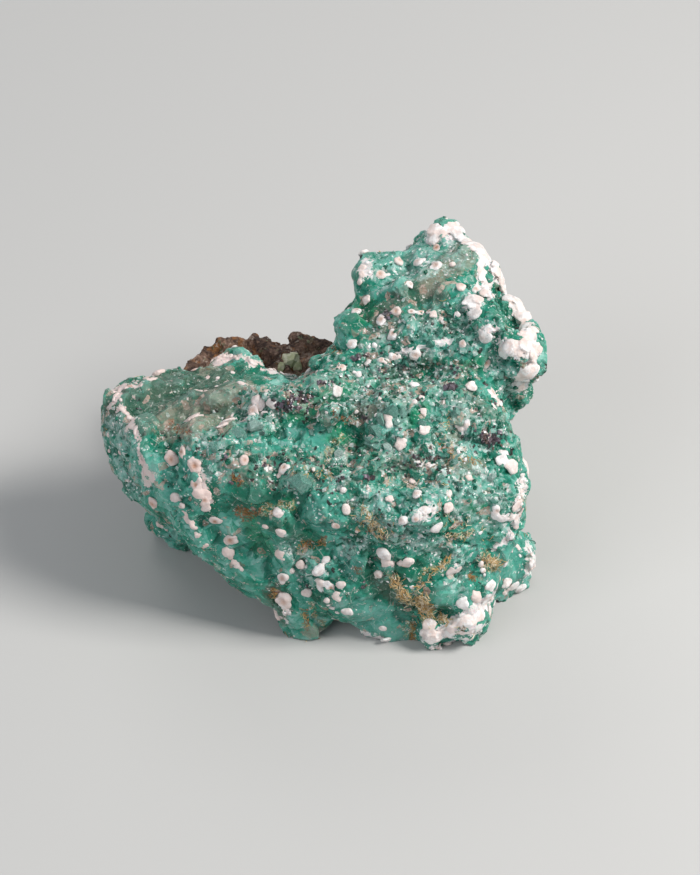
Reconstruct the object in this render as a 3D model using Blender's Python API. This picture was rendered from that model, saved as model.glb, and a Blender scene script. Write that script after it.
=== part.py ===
"""A melanterite hand specimen: a broken, translucent green crystal mass that rests on its own
feet, with a remnant of the brown host rock that it grew on behind it.

Metres, +Z up. The origin is on the surface that the specimen rests on, under its middle. +X runs
along its length and -Y is its front.

The numbers of the shape are millimetres, at the length named below. seen() takes a point as it is
sighted from in front and above: across and up on a picture plane through the front foot, and how
far beyond that plane. placed() takes a point as measured on the bench: along, back from the front
foot, and height.
"""

import math

import bmesh
import bpy
import numpy as np
from mathutils import Matrix, Vector
from mathutils.bvhtree import BVHTree

# Driving dimensions: the length in metres, and the length that the numbers below add up to, in mm
LENGTH = 0.0612
LENGTH_IN_NUMBERS = 61.2
UNIT = LENGTH / LENGTH_IN_NUMBERS

# The sighting: its angle above level in degrees, its distance, and where its centre is, in mm
SIGHT_ANGLE = 42.0
SIGHT_DISTANCE = 400.0
SIGHT_CENTRE_BACK = 19.7
SIGHT_CENTRE_HEIGHT = 21.9

# The middle of the specimen on the bench, in mm
MIDDLE_ALONG = -3.93
MIDDLE_BACK = 25.47

# The gap between the mass and the host rock, and how fine the two solids are, in mm and triangles
CONTACT_GAP = 0.3
MASS_VOXEL = 0.7
ROCK_VOXEL = 0.8
MASS_TRIANGLES = 5200
GROWN_TRIANGLES = 8600
ROCK_TRIANGLES = 700

# How far the feet are drawn below the bench before they are cut off there, and the height under
# which a point belongs to that cut, in mm
SINK = -0.7
BASE_BAND = 0.12

SINE = math.sin(math.radians(SIGHT_ANGLE))
COSINE = math.cos(math.radians(SIGHT_ANGLE))


def placed(along, back, height):
    """A bench position in mm, as a point in metres."""
    return Vector((along, back, height)) * UNIT


def seen(across, up, beyond):
    """A sighted position in mm, as a point of the bench in metres."""
    spread = 1 + beyond / SIGHT_DISTANCE
    back = SIGHT_CENTRE_BACK + up * spread * SINE + beyond * COSINE
    height = SIGHT_CENTRE_HEIGHT + up * spread * COSINE - beyond * SINE
    return placed(across * spread, back, height)


EYE = seen(0, 0, -SIGHT_DISTANCE)


def sighted(points):
    """Where points of the bench, in metres, are seen: across and up, in mm."""
    along, back, height = (points / UNIT).T
    back = back - SIGHT_CENTRE_BACK
    height = height - SIGHT_CENTRE_HEIGHT
    spread = 1 + (back * COSINE - height * SINE) / SIGHT_DISTANCE
    return np.column_stack([along, back * SINE + height * COSINE]) / spread[:, None]


for old in list(bpy.data.objects):
    bpy.data.objects.remove(old)

# The arm is the tall block on the right. Its top is green and its right side is crusted.
ARM = [
    seen(12.5, 28.4, 6), seen(15.2, 28.0, 5.5), seen(17.0, 26.3, 4), seen(19.2, 23.8, 2.5),
    seen(21.0, 21.1, 1), seen(23.9, 17.6, -1), seen(25.4, 13.4, -3.5), seen(26.1, 10.7, -5),
    seen(25.4, 8.4, -5), seen(21.4, 6.4, -4.5), seen(15.2, 21.0, -3.5), seen(18.0, 13.5, -7.5),
    seen(11.0, 14.0, -6.5), seen(2.4, 21.0, 1), seen(8.5, 26.2, 4.8), seen(0.2, 17.8, 0),
    seen(-2.1, 14.6, -1.5), seen(-4.5, 10.7, -3), seen(3.0, 12.0, -5),
    placed(20.5, 28, 16), placed(22, 42, 20), placed(17, 48, 29), placed(6, 47, 29),
    placed(1.5, 39, 25), placed(18, 47, 8), placed(6, 47, 8), placed(3, 26, 14),
    placed(21, 22, 14),
]
PEAK = [
    seen(13.3, 29.9, 6), seen(15.0, 29.4, 5.5), seen(15.9, 27.8, 5), seen(15.4, 26.6, 3.2),
    seen(12.2, 28.5, 6.5), seen(10.3, 27.1, 6), seen(11.2, 26.0, 2.6), seen(13.5, 25.0, 2),
    placed(14, 48, 34), placed(9, 47, 33),
]
SHOULDER = [
    seen(1.2, 21.6, 2), seen(1.0, 23.2, 2.5), seen(2.4, 24.5, 3), seen(5.6, 25.0, 2.5),
    seen(8.0, 26.2, 3), seen(7.5, 22.5, 0.5), seen(2.2, 20.2, 0.5), seen(5.0, 19.0, -1.2),
    placed(4, 43, 29), placed(7, 45, 30),
]
CORNER = [
    seen(27.1, 10.6, -6), seen(26.3, 12.4, -5), seen(24.8, 15.0, -4), seen(22.0, 14.5, -6.5),
    seen(21.5, 10.5, -8), seen(24.6, 7.6, -7), seen(26.8, 9.2, -6.5), placed(22, 30, 26),
]

# The body is the middle and right of the mass, steep in front.
BODY = [
    seen(-6.5, 5.2, -10), seen(-2.7, 3.6, -12.2), seen(4, 6, -11.5), seen(12, 8.0, -10.2),
    seen(18.5, 8.0, -9.5), seen(20.0, 4.4, -8.4), seen(22.0, 1.0, -7.2), seen(23.4, -6.3, -8),
    seen(23.4, -10.2, -6.5), seen(22.6, -12.8, -5), seen(20.5, -18, -2.5), seen(19.6, -22.5, -1),
    seen(15, -8, -13), seen(11, -11.3, -13), seen(9.6, -22.3, -6.5), seen(14, -20, -6.5),
    seen(2, -10, -13.3), seen(-6.9, -8.6, -14.2), seen(-4, -20, -7), seen(-12, -2, -14),
    seen(-9, -18, -7), seen(-9.2, -23.5, -0.7), seen(1, -25.5, -0.2),
    placed(-12, 18, 3), placed(-4, 13, 2.5), placed(17, 14, 2), placed(20, 34, 3),
    placed(2, 38, 3), placed(21, 30, 24), placed(-1, 30, 25), placed(-10, 30, 16),
]
SADDLE = [
    seen(-9.0, 8.9, 0), seen(-7.4, 7.6, -2), seen(-5.8, 7.0, -3.4), seen(-3.0, 10.0, -4),
    seen(-9, 3.0, -12), seen(-3, 4.6, -11), seen(1.5, 8.5, -8), seen(3, 12.5, -4.5),
    placed(-8, 31, 18), placed(3, 34, 18),
]
RIGHT_EDGE = [
    seen(22.2, -4.4, -7), seen(24.3, -6.4, -7.5), seen(23.9, -8.2, -7), seen(20.0, -4.2, -10.8),
    seen(19.5, -9.5, -12), seen(23.8, -10.2, -7), seen(22.2, -13.0, -5.5), seen(19.5, -14, -8.5),
    placed(20, 18, 16), placed(20, 16, 20),
]

# The left block has a low flat top, and its lower left edge hangs over the bench.
LEFT = [
    seen(-33.2, 5.1, 2.5), seen(-31.0, 7.2, 4), seen(-24, 8.9, 5.5), seen(-20.3, 9.6, 6),
    seen(-12.8, 10.0, 5), seen(-8, 8.6, 1), seen(-34.0, 1.4, 2), seen(-29, 1, -6),
    seen(-27, -3.5, -9.5), seen(-22, -1.0, -12.5), seen(-14, -0.5, -13.5), seen(-10, 2.5, -12.5),
    seen(-31.5, -4.6, 1), seen(-28.0, -9.0, 1.5), seen(-22.9, -13.0, -4.5), seen(-24, -8.5, -9.5),
    seen(-18.7, -15.0, -3), seen(-15.3, -17.9, -1.5), seen(-12.7, -22.6, -0.5),
    seen(-9.3, -23.4, 0.5), seen(-18, -10.5, -10.3), seen(-10, -10, -13), seen(-9, -20, -5.5),
    placed(-26, 31, 17), placed(-29, 27, 13), placed(-24, 34, 10), placed(-8, 36, 6),
    placed(-22, 24, 5), placed(-13, 16, 2.5), placed(-4, 14, 3), placed(-4, 30, 4),
]
LEFT_RIM = [
    seen(-21.0, 9.6, 5.5), seen(-19.3, 11.4, 6.5), seen(-17.4, 11.8, 7), seen(-15.6, 11.2, 6.5),
    seen(-12.8, 10.1, 5.5), seen(-8.2, 10.2, 3.5), seen(-17, 8.0, 2.0), seen(-11, 7.5, 0),
    placed(-17, 34, 20), placed(-10, 33, 20),
]
LEFT_FOOT = [
    seen(-23.8, -12.4, 15), seen(-25.9, -12.9, 17), seen(-26.9, -12.3, 16),
    seen(-27.4, -10.7, 13), seen(-27.8, -9.0, 8), placed(-19, 19, SINK), placed(-18, 33, SINK),
    placed(-26.5, 33, SINK), placed(-27.5, 27, 8), placed(-18, 22, 10), placed(-18, 32, 12),
]

# Lumps and feet along the bottom
RIGHT_LOBE = [
    seen(21.8, -14.4, 3), seen(23.0, -14.4, 4.5), seen(24.3, -15.4, 5), seen(24.9, -16.8, 5.5),
    seen(24.1, -18.6, 6), seen(23.8, -21.2, 8), seen(22.0, -22.4, 9), seen(20.6, -24.6, 9),
    seen(21, -17, 2.5), seen(22.5, -19, 3.5), seen(20, -23, 5), placed(20, 22, SINK),
    placed(24.5, 20, SINK), placed(23.5, 21, 8), placed(18, 20, 10),
]
FRONT_FOOT = [
    seen(18.5, -24.6, 3), seen(17.7, -26.2, 2.8), seen(16.7, -28.0, 2.6), seen(15.2, -29.0, 2.4),
    seen(13.6, -30.0, 1.6), seen(12.2, -30.8, 1.3), seen(10.8, -30.8, 1.2), seen(8.8, -30.0, 1.9),
    seen(9.9, -25.2, -3), seen(12.8, -26.0, -2.6), seen(17, -24.3, -2), seen(19.6, -22, -0.4),
    seen(20.0, -24.4, 3), placed(19, 10, SINK), placed(9, 14, SINK), placed(12, 10, 8),
    placed(19, 12, 9),
]
MIDDLE_FOOT = [
    seen(8.9, -29.6, 2.0), seen(6.0, -29.6, 2.2), seen(4.0, -28.4, 2.0), seen(2.7, -27.2, 1.4),
    seen(0.6, -26.2, 1), seen(5.5, -22.5, -5), seen(8.6, -23, -4.5), seen(2, -20.5, -7),
    placed(8, 10, SINK), placed(0, 10, SINK),
]
LEFT_LUMP = [
    seen(-1.6, -27.0, 1.4), seen(-3.2, -28.2, 2.6), seen(-5, -28.4, 3.2), seen(-7.2, -27.8, 3.4),
    seen(-8.5, -26.2, 2), seen(-9.2, -24.2, 1), seen(-5, -22.5, -4), seen(-1.2, -23.5, -3),
    seen(-8.4, -21.5, -3.5), placed(-1, 10, SINK), placed(-8, 10, SINK), placed(-5, 9, 6),
]

# The back is where the mass grew on the host rock.
BACK = [
    placed(-23, 38, 1), placed(4, 42, 2), placed(-24, 39, 12), placed(-12, 40, 16),
    placed(4, 42, 17), placed(-20, 31, 20), placed(-2, 30, 24), placed(-18, 24, 3),
    placed(10, 34, 3),
]
BACK_FOOT = [
    placed(7, 36, SINK), placed(17, 35, SINK), placed(18, 43, SINK), placed(13, 46, SINK),
    placed(7, 44, SINK), placed(5, 34, 9), placed(20, 33, 10), placed(19, 46, 10),
    placed(6, 47, 10),
]
MASS_CHUNKS = [
    ARM, PEAK, SHOULDER, CORNER, BODY, SADDLE, RIGHT_EDGE, LEFT, LEFT_RIM, LEFT_FOOT,
    RIGHT_LOBE, FRONT_FOOT, MIDDLE_FOOT, LEFT_LUMP, BACK, BACK_FOOT,
]

# The bed is the room behind the mass that the host rock fills.
BED = [
    placed(-30, 37.5, -2), placed(-17, 34.2, -2), placed(-5, 35.2, -2), placed(3.5, 39.0, -2),
    placed(-30, 40, 19), placed(-19, 37.0, 19), placed(-7, 37.6, 19), placed(3.5, 41, 19),
    placed(-30, 60, -2), placed(3.5, 60, -2), placed(-30, 60, 22), placed(3.5, 60, 22),
]
ROCK_LEFT = [
    seen(-21.6, 9.6, 20), seen(-20.5, 10.9, 21.5), seen(-17, 13.4, 24), placed(-24, 40, SINK),
    placed(-24, 36, 12), placed(-10, 36, 14), placed(-8, 50, 4), placed(-19, 50, SINK),
    placed(-8, 36, SINK), placed(-22, 46, 7),
]
ROCK_MIDDLE = [
    seen(-17.2, 13.2, 23), seen(-15.4, 14.0, 24.5), seen(-13, 13.7, 24), seen(-10, 14.1, 25),
    placed(-14, 36, 15), placed(-7, 36, 15), placed(-14, 51, 6), placed(-7, 51, 6),
    placed(-16, 50, SINK), placed(-4, 50, SINK), placed(-12, 36, SINK),
]
ROCK_RIGHT = [
    seen(-9.5, 14.1, 25), seen(-8.4, 13.8, 24.5), seen(-6.4, 13.0, 24), seen(-4.4, 13.0, 24),
    placed(2, 42, 14), placed(3, 48, 9), placed(-9, 37, 15), placed(3, 41, SINK),
    placed(2, 49.5, SINK), placed(-10, 50, SINK), placed(-6, 50.5, 7),
]
ROCK_CHUNKS = [ROCK_LEFT, ROCK_MIDDLE, ROCK_RIGHT]

# Ridges, ledges and troughs of the front: half width and height in mm, and where they are seen.
# A negative height is a trough. A ridge is flat on top to RELIEF_TOP of its half width, and it has
# its whole height where the skin's slant to the eye is at least FULL_FACING.
RELIEF_TOP = 0.5
FULL_FACING = 0.5
RELIEF = [
    (1.3, 0.9, [(-10, 4.8), (-6, 5.6), (-3, 7.6), (0.5, 8.8), (4, 10.4), (8, 11.6)]),
    (1.2, -1.2, [(-11.5, 1.2), (-7, 3.3), (-3, 4.8), (2, 6.2), (6, 8.0), (10, 9.0)]),
    (1.2, 0.8, [(-4, 2.6), (1, 4.2), (5, 6.0), (8, 7.0), (11.5, 6.6)]),
    (1.4, 0.8, [(9, 12.0), (14, 12.3), (19, 14)]),
    (1.4, -0.8, [(10, 14.4), (13, 14.6), (16, 15.2)]),
    (1.4, 1.0, [(15.5, 27), (15.6, 24), (15, 20.5), (17.5, 17.5), (20, 13), (23, 11.5)]),
    (1.3, 0.7, [(-19, 5.2), (-14.5, 6.0), (-11.5, 5.2)]),
    (1.1, 0.8, [(-32, 4.6), (-30.5, 3), (-29, 0.5), (-28.6, -3), (-27, -6), (-25.5, -8.5)]),
    (1.1, -0.6, [(-26.5, -1.5), (-25, -6), (-23, -9.5)]),
    (1.0, 0.7, [(-22.5, -9.5), (-21.5, -12), (-20, -14.6)]),
    (1.3, 0.9, [(-10, -9), (-9.5, -13), (-9.7, -17), (-9, -20), (-9.4, -22.6)]),
    (1.4, -0.9, [(-14, -10.5), (-12, -14), (-11.2, -19)]),
    (1.3, -1.0, [(3.2, -13.5), (2.8, -19), (3.8, -22), (3.8, -25)]),
    (1.2, 0.9, [(5, -15), (5.3, -18), (6.5, -21), (9.5, -23.5)]),
    (0.9, -1.4, [(8.6, -28.5), (8.6, -26), (8, -24.5)]),
    (1.1, 0.9, [(18, -16.3), (20.3, -16.6), (20.5, -19.5), (18.6, -22.4)]),
    (1.1, 0.9, [(10.3, -25.4), (11, -27.2), (14, -26.4), (17, -24.8)]),
    (1.6, 0.8, [(6.8, -11.4), (9.5, -11), (10.3, -9.6)]),
    (1.4, -0.9, [(0.6, 1.6), (1.6, -0.4), (1.6, -2)]),
    (1.5, 0.9, [(4.2, -1.5), (4.6, 1), (5.4, 4.4)]),
    (1.9, 1.0, [(-7.4, -5.8), (-6.8, -5.8)]),
]

# Cleavage faces: the least cosine between a face and the skin, and how many planes near a point count
STEEPEST_FACE = 0.45
PLANES_NEAR = 4

# A crystal's outline in shares of its length and width, and its rings: reach, and level in heights
CRYSTAL_OUTLINE = (
    (-0.5, -0.12), (-0.2, -0.5), (0.42, -0.5), (0.5, 0.2), (0.12, 0.5), (-0.44, 0.46),
)
CRYSTAL_RINGS = ((1.0, -1.0), (1.0, 0.45), (0.62, 1.0))

# Crystals that stand a little out of the mass: where they are seen, then length, width and height
# in mm, and how far each is turned in the skin and leans out of it in degrees
CRYSTALS = [
    (5.0, 3.0, 5.0, 2.6, 1.2, 78, 12), (3.4, -0.6, 3.6, 2.4, 1.0, 105, -14),
    (7.2, 0.8, 3.6, 1.8, 1.0, 65, 16), (-7.0, -5.8, 3.4, 3.2, 1.3, 20, 8),
    (-12.6, 1.6, 3.0, 1.8, 0.9, 30, 15), (1.6, -10.4, 3.6, 2.4, 0.9, 60, -15),
    (-3.8, -9.4, 4.8, 3.6, 0.7, 75, 8), (12.6, -21.4, 5.2, 3.6, 0.8, 55, 9),
    (8.2, -18.9, 3.2, 2.2, 0.8, 15, -14), (13.0, 20.0, 4.4, 3.0, 0.8, 40, 12),
    (6.8, 20.2, 3.8, 2.6, 0.8, 120, -12), (-24.0, 4.2, 4.6, 2.8, 0.7, 25, 10),
    (-16.2, -12.4, 4.4, 2.8, 0.7, 110, 9), (17.0, 1.6, 3.0, 2.2, 1.0, 35, 18),
]

# A button's rings, reach and height in radii: a foot in the skin, a shoulder and a flat top. Each
# button has SIDES sides and is turned this many degrees further than the one before.
SIDES = 6
BUTTON_RINGS = ((1.0, -0.5), (1.0, 0.12), (0.7, 0.48))
BUTTON_TURN = 25

# White efflorescence buttons that are seen: across, up and radius in mm
BUTTONS = [
    (0.9, 17.4, 0.9), (4.3, 16.1, 0.9), (6.4, 17.3, 0.9), (5.9, 14.2, 0.9), (0.2, 12.8, 0.9),
    (9.0, 11.4, 1.1), (15.5, 12.9, 0.8), (11.8, 23.5, 1.0), (11.9, 26.0, 0.9), (6.7, 24.2, 0.8),
    (9.4, 24.0, 0.9), (4.1, 22.4, 0.9), (2.1, 22.4, 1.0), (15.2, 20.7, 0.9), (12.0, 16.6, 1.2),
    (17.0, 17.8, 1.6), (18.6, 14.6, 1.6), (23.0, 12.0, 1.7), (21.9, 18.4, 1.4), (19.4, 21.8, 1.2),
    (-1.2, 9.6, 0.9), (-1.6, 6.4, 1.0), (8.9, 7.1, 0.9), (16.7, 7.0, 0.9), (19.3, 6.1, 1.3),
    (5.2, 2.6, 1.0), (10.2, 1.0, 0.9), (7.0, -0.8, 0.9), (15.6, 1.6, 1.4), (21.0, -2.8, 1.1),
    (-19.5, 8.2, 0.8), (-14.8, 7.4, 0.8), (-13.3, 3.6, 1.0), (-12.9, 5.2, 0.8), (-23.0, -2.0, 0.9),
    (-24.4, -3.1, 1.0), (-14.5, -3.1, 0.9), (-9.0, -4.4, 1.0), (-21.1, -5.4, 1.3),
    (-20.5, -7.8, 0.9), (-18.5, -11.4, 0.9), (-16.4, -14.0, 1.1), (-16.7, -15.8, 1.0),
    (-24.2, -8.3, 1.0), (-27.0, -9.0, 1.0), (-9.9, -10.3, 0.9), (-9.4, -13.1, 0.9),
    (-9.7, -16.0, 0.9), (-0.6, -9.8, 0.9), (-1.8, -12.0, 0.9), (-6.8, -17.5, 0.9),
    (-4.3, -18.3, 0.9), (-9.2, -19.2, 0.9), (-3.0, -20.3, 1.1), (-1.7, -21.8, 0.9),
    (-0.5, -23.9, 0.9), (-9.0, -22.3, 1.2), (4.5, -16.0, 1.3), (5.1, -17.6, 1.0),
    (8.0, -17.1, 1.1), (13.5, -9.6, 0.9), (11.9, -12.4, 0.9), (9.3, -10.8, 1.2),
    (9.2, -7.8, 0.8), (20.4, -10.2, 1.2), (15.4, -22.8, 1.0), (17.3, -21.8, 1.0),
    (19.3, -20.3, 1.1), (21.6, -19.9, 0.9), (23.4, -20.5, 1.0), (4.6, -26.2, 0.8),
]

# Buttons round the sides and back: a spiral of this many, between two heights in mm, over a sector
# in degrees that starts in front of the right side. None grows where the host rock was in the way,
# left of, behind and below the corner of its bed.
HIDDEN_BUTTONS = 26
HIDDEN_FROM = 5.0
HIDDEN_TO = 33.0
HIDDEN_START = -25.0
HIDDEN_SECTOR = 230.0
HIDDEN_RADII = (0.8, 1.05, 1.3)
GOLDEN_ANGLE = 137.5
BED_CORNER = (6.0, 33.0, 20.0)

# The skin's slant at a place is averaged over a ring of this radius in mm, looked at from this far
PROBE_RADIUS = 0.9
PROBE_START = 20.0


def new_object(name, mesh):
    item = bpy.data.objects.new(name, mesh)
    bpy.context.collection.objects.link(item)
    return item


def hulls(name, chunks):
    """One object that holds the convex hull of each chunk."""
    shape = bmesh.new()
    for chunk in chunks:
        corners = [shape.verts.new(point) for point in chunk]
        made = bmesh.ops.convex_hull(shape, input=corners)
        inside = [v for v in made["geom_interior"] if isinstance(v, bmesh.types.BMVert)]
        bmesh.ops.delete(shape, geom=inside, context="VERTS")
    bmesh.ops.recalc_face_normals(shape, faces=shape.faces)
    mesh = bpy.data.meshes.new(name)
    shape.to_mesh(mesh)
    shape.free()
    return new_object(name, mesh)


def apply_modifier(item, kind, **settings):
    """Adds one modifier to the object and makes its result the object's mesh."""
    modifier = item.modifiers.new(kind.title(), kind)
    for setting, value in settings.items():
        setattr(modifier, setting, value)
    graph = bpy.context.evaluated_depsgraph_get()
    mesh = bpy.data.meshes.new_from_object(item.evaluated_get(graph))
    item.modifiers.clear()
    item.data = mesh


def fuse(item, voxel):
    """Fuses overlapping bodies into one skin and eases the steps that the voxels leave."""
    apply_modifier(item, "REMESH", mode="VOXEL", voxel_size=voxel * UNIT)
    apply_modifier(item, "SMOOTH", factor=0.5, iterations=2)


def read_points(mesh):
    points = np.empty(len(mesh.vertices) * 3)
    mesh.vertices.foreach_get("co", points)
    return points.reshape(-1, 3)


def vertex_normals(mesh):
    return np.array([v.normal[:] for v in mesh.vertices])


def write_points(mesh, points):
    mesh.vertices.foreach_set("co", points.ravel())
    mesh.update()


def carve_relief(item):
    """Raises the ridges and sinks the troughs of the front along the skin's own normals."""
    points = read_points(item.data)
    normals = vertex_normals(item.data)
    views = sighted(points)
    to_eye = np.array(EYE) - points
    to_eye /= np.linalg.norm(to_eye, axis=1)[:, None]
    facing = np.clip((normals * to_eye).sum(axis=1) / FULL_FACING, 0, 1)
    for half_width, height, route in RELIEF:
        distance = np.full(len(points), np.inf)
        for start, end in zip(np.array(route[:-1], float), np.array(route[1:], float)):
            run = end - start
            share = np.clip((views - start) @ run / (run @ run), 0, 1)
            nearest = start + share[:, None] * run
            distance = np.minimum(distance, np.linalg.norm(views - nearest, axis=1))
        rise = np.clip(1 + RELIEF_TOP - distance / half_width, 0, 1)
        points = points + normals * (rise * facing * height * UNIT)[:, None]
    write_points(item.data, points)


def break_into_facets(item, spacing, tilt, depth, seed):
    """Breaks a smooth skin into flat cleavage faces about one spacing apart.

    Each face is a plane near the skin with its normal turned at random. Every point moves along
    its own normal to the lowest plane near it, and by no more than the depth.
    """
    chance = np.random.default_rng(seed)
    mesh = item.data
    points = read_points(mesh)
    normals = vertex_normals(mesh)
    reach = spacing * UNIT
    centres = []
    for index in chance.permutation(len(points)):
        point = points[index]
        if all(np.linalg.norm(point - points[other]) > reach for other in centres):
            centres.append(index)
    origins = points[centres]
    planes = normals[centres] + chance.normal(0, tilt, (len(centres), 3))
    planes /= np.linalg.norm(planes, axis=1)[:, None]
    moved = np.full(len(points), np.inf)
    gaps = np.linalg.norm(points[:, None, :] - origins[None, :, :], axis=2)
    nearest = np.argsort(gaps, axis=1)[:, :PLANES_NEAR]
    for column in range(PLANES_NEAR):
        plane = planes[nearest[:, column]]
        facing = np.maximum((plane * normals).sum(axis=1), STEEPEST_FACE)
        offset = ((origins[nearest[:, column]] - points) * plane).sum(axis=1) / facing
        moved = np.minimum(moved, offset)
    moved -= np.median(moved)
    moved = np.clip(moved, -depth * UNIT, depth * UNIT)
    write_points(mesh, points + normals * moved[:, None])


def thin_to(item, triangles):
    """Collapses edges until about this many triangles are left, and triangulates the rest."""
    faces = sum(len(face.vertices) - 2 for face in item.data.polygons)
    apply_modifier(item, "DECIMATE", ratio=triangles / faces)
    apply_modifier(item, "TRIANGULATE")


def cut_flat(item):
    """Cuts the object off at the surface that it rests on, which leaves flat faces there."""
    shape = bmesh.new()
    shape.from_mesh(item.data)
    everything = shape.verts[:] + shape.edges[:] + shape.faces[:]
    cut = bmesh.ops.bisect_plane(
        shape, geom=everything, plane_co=(0, 0, 0), plane_no=(0, 0, -1), clear_outer=True
    )
    rim = [edge for edge in cut["geom_cut"] if isinstance(edge, bmesh.types.BMEdge)]
    bmesh.ops.holes_fill(shape, edges=rim, sides=0)
    bmesh.ops.triangulate(shape, faces=shape.faces)
    shape.to_mesh(item.data)
    shape.free()


def drop_crumbs(item):
    """Keeps the largest body of the object, and drops the crumbs that a cut leaves."""
    shape = bmesh.new()
    shape.from_mesh(item.data)
    left = set(shape.verts)
    bodies = []
    while left:
        front = [left.pop()]
        body = list(front)
        while front:
            near = {edge.other_vert(vert) for vert in front for edge in vert.link_edges} & left
            left -= near
            front = list(near)
            body += front
        bodies.append(body)
    bodies.sort(key=len)
    crumbs = [vert for body in bodies[:-1] for vert in body]
    bmesh.ops.delete(shape, geom=crumbs, context="VERTS")
    shape.to_mesh(item.data)
    shape.free()


def level_base(item):
    """Sets the points that are next to the resting surface exactly on it."""
    points = read_points(item.data)
    points[points[:, 2] < BASE_BAND * UNIT, 2] = 0
    write_points(item.data, points)


def combine(item, other, operation):
    """Joins the other object to the item or cuts it out of it, and removes the other object."""
    touching = operation == "UNION"
    apply_modifier(
        item, "BOOLEAN", object=other, operation=operation, solver="EXACT", use_self=touching
    )
    bpy.data.objects.remove(other)
    apply_modifier(item, "TRIANGULATE")


def round_about(side, up):
    """The directions to the corners of a regular outline in the plane of side and up."""
    angles = [math.tau * step / SIDES for step in range(SIDES)]
    return [side * math.cos(angle) + up * math.sin(angle) for angle in angles]


def find_skin(item):
    """Two ways to find a place on the skin of the object: by sight, and from around it."""
    shape = bmesh.new()
    shape.from_mesh(item.data)
    tree = BVHTree.FromBMesh(shape)
    shape.free()

    def average_normal(point, direction, side, up):
        total = Vector()
        start = point - direction * PROBE_START * UNIT
        for out in round_about(side, up):
            normal = tree.ray_cast(start + out * PROBE_RADIUS * UNIT, direction)[1]
            if normal is not None:
                total += normal
        return total.normalized()

    def place(origin, direction):
        direction = direction.normalized()
        point = tree.ray_cast(origin, direction)[0]
        if point is None:
            return None
        side = direction.cross(Vector((0, 0, 1))).normalized()
        return point, average_normal(point, direction, side, side.cross(direction))

    def by_sight(across, up):
        """The place seen there or, just off the edge, the nearest one towards the middle."""
        found = None
        while found is None:
            found = place(EYE, seen(across, up, 0) - EYE)
            across *= 0.98
            up *= 0.98
        return found

    def from_around(angle, height):
        outward = Vector((math.cos(math.radians(angle)), math.sin(math.radians(angle)), 0))
        axis = placed(MIDDLE_ALONG, MIDDLE_BACK, height)
        return place(axis + outward * 2 * LENGTH, -outward)

    return by_sight, from_around


def turned(first, second, degrees):
    """Two ways at right angles, turned in their own plane from the first towards the second."""
    angle = math.radians(degrees)
    cosine = math.cos(angle)
    sine = math.sin(angle)
    return first * cosine + second * sine, second * cosine - first * sine


def skin_frame(normal, turn):
    """A side way and an up way in the skin, turned about its normal by an angle in degrees."""
    side = normal.cross(Vector((0.03, 0.02, 1))).normalized()
    return turned(side, normal.cross(side), turn)


def add_stack(shape, rings):
    """A closed body from rings of points, lowest first, with a flat floor and a flat top."""
    rings = [[shape.verts.new(point) for point in ring] for ring in rings]
    shape.faces.new(rings[0][::-1])
    shape.faces.new(rings[-1])
    for lower, upper in zip(rings[:-1], rings[1:]):
        for step in range(len(lower)):
            after = (step + 1) % len(lower)
            shape.faces.new((lower[step], lower[after], upper[after], upper[step]))


def add_button(shape, point, normal, radius, turn):
    """A low button of efflorescence on the skin."""
    corners = round_about(*skin_frame(normal, turn))
    size = radius * UNIT
    add_stack(shape, [
        [point + (out * reach + normal * height) * size for out in corners]
        for reach, height in BUTTON_RINGS
    ])


def add_crystal(shape, point, normal, length, width, height, turn, lean):
    """A short slanting prism that lies in the skin, with a roof of flat faces."""
    side, up = skin_frame(normal, turn)
    side, normal = turned(side, normal, lean)
    rings = []
    for reach, level in CRYSTAL_RINGS:
        lift = normal * level * height
        rings.append([
            point + (side * along * length * reach + up * over * width * reach + lift) * UNIT
            for along, over in CRYSTAL_OUTLINE
        ])
    add_stack(shape, rings)


def give_material(item, name, colour, roughness):
    material = bpy.data.materials.new(name)
    material.use_nodes = True
    shader = material.node_tree.nodes["Principled BSDF"]
    shader.inputs["Base Color"].default_value = (*colour, 1)
    shader.inputs["Roughness"].default_value = roughness
    shader.inputs["Metallic"].default_value = 0
    item.data.materials.clear()
    item.data.materials.append(material)


# The mass
melanterite = hulls("melanterite", MASS_CHUNKS)
fuse(melanterite, MASS_VOXEL)
carve_relief(melanterite)
break_into_facets(melanterite, spacing=4.5, tilt=0.2, depth=0.8, seed=7)
fuse(melanterite, MASS_VOXEL)
cut_flat(melanterite)
drop_crumbs(melanterite)
combine(melanterite, hulls("bed", [BED]), "DIFFERENCE")
drop_crumbs(melanterite)
thin_to(melanterite, MASS_TRIANGLES)

# The crystals and the white buttons that are fused to the mass
by_sight, from_around = find_skin(melanterite)
shape = bmesh.new()
for across, up, *sizes in CRYSTALS:
    add_crystal(shape, *by_sight(across, up), *sizes)
for number, (across, up, radius) in enumerate(BUTTONS):
    add_button(shape, *by_sight(across, up), radius, BUTTON_TURN * number)
bed_corner = placed(*BED_CORNER)
for number in range(HIDDEN_BUTTONS):
    share = (number + 0.5) / HIDDEN_BUTTONS
    height = HIDDEN_FROM + (HIDDEN_TO - HIDDEN_FROM) * share
    point, normal = from_around(HIDDEN_START + GOLDEN_ANGLE * number % HIDDEN_SECTOR, height)
    below_corner = point.x < bed_corner.x and point.z < bed_corner.z
    if not (below_corner and point.y > bed_corner.y):
        radius = HIDDEN_RADII[number % len(HIDDEN_RADII)]
        add_button(shape, point, normal, radius, BUTTON_TURN * number)
grown_mesh = bpy.data.meshes.new("grown")
shape.to_mesh(grown_mesh)
shape.free()
combine(melanterite, new_object("grown", grown_mesh), "UNION")
thin_to(melanterite, GROWN_TRIANGLES)
level_base(melanterite)
give_material(melanterite, "green_melanterite", (0.10, 0.36, 0.27), roughness=0.35)

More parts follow.
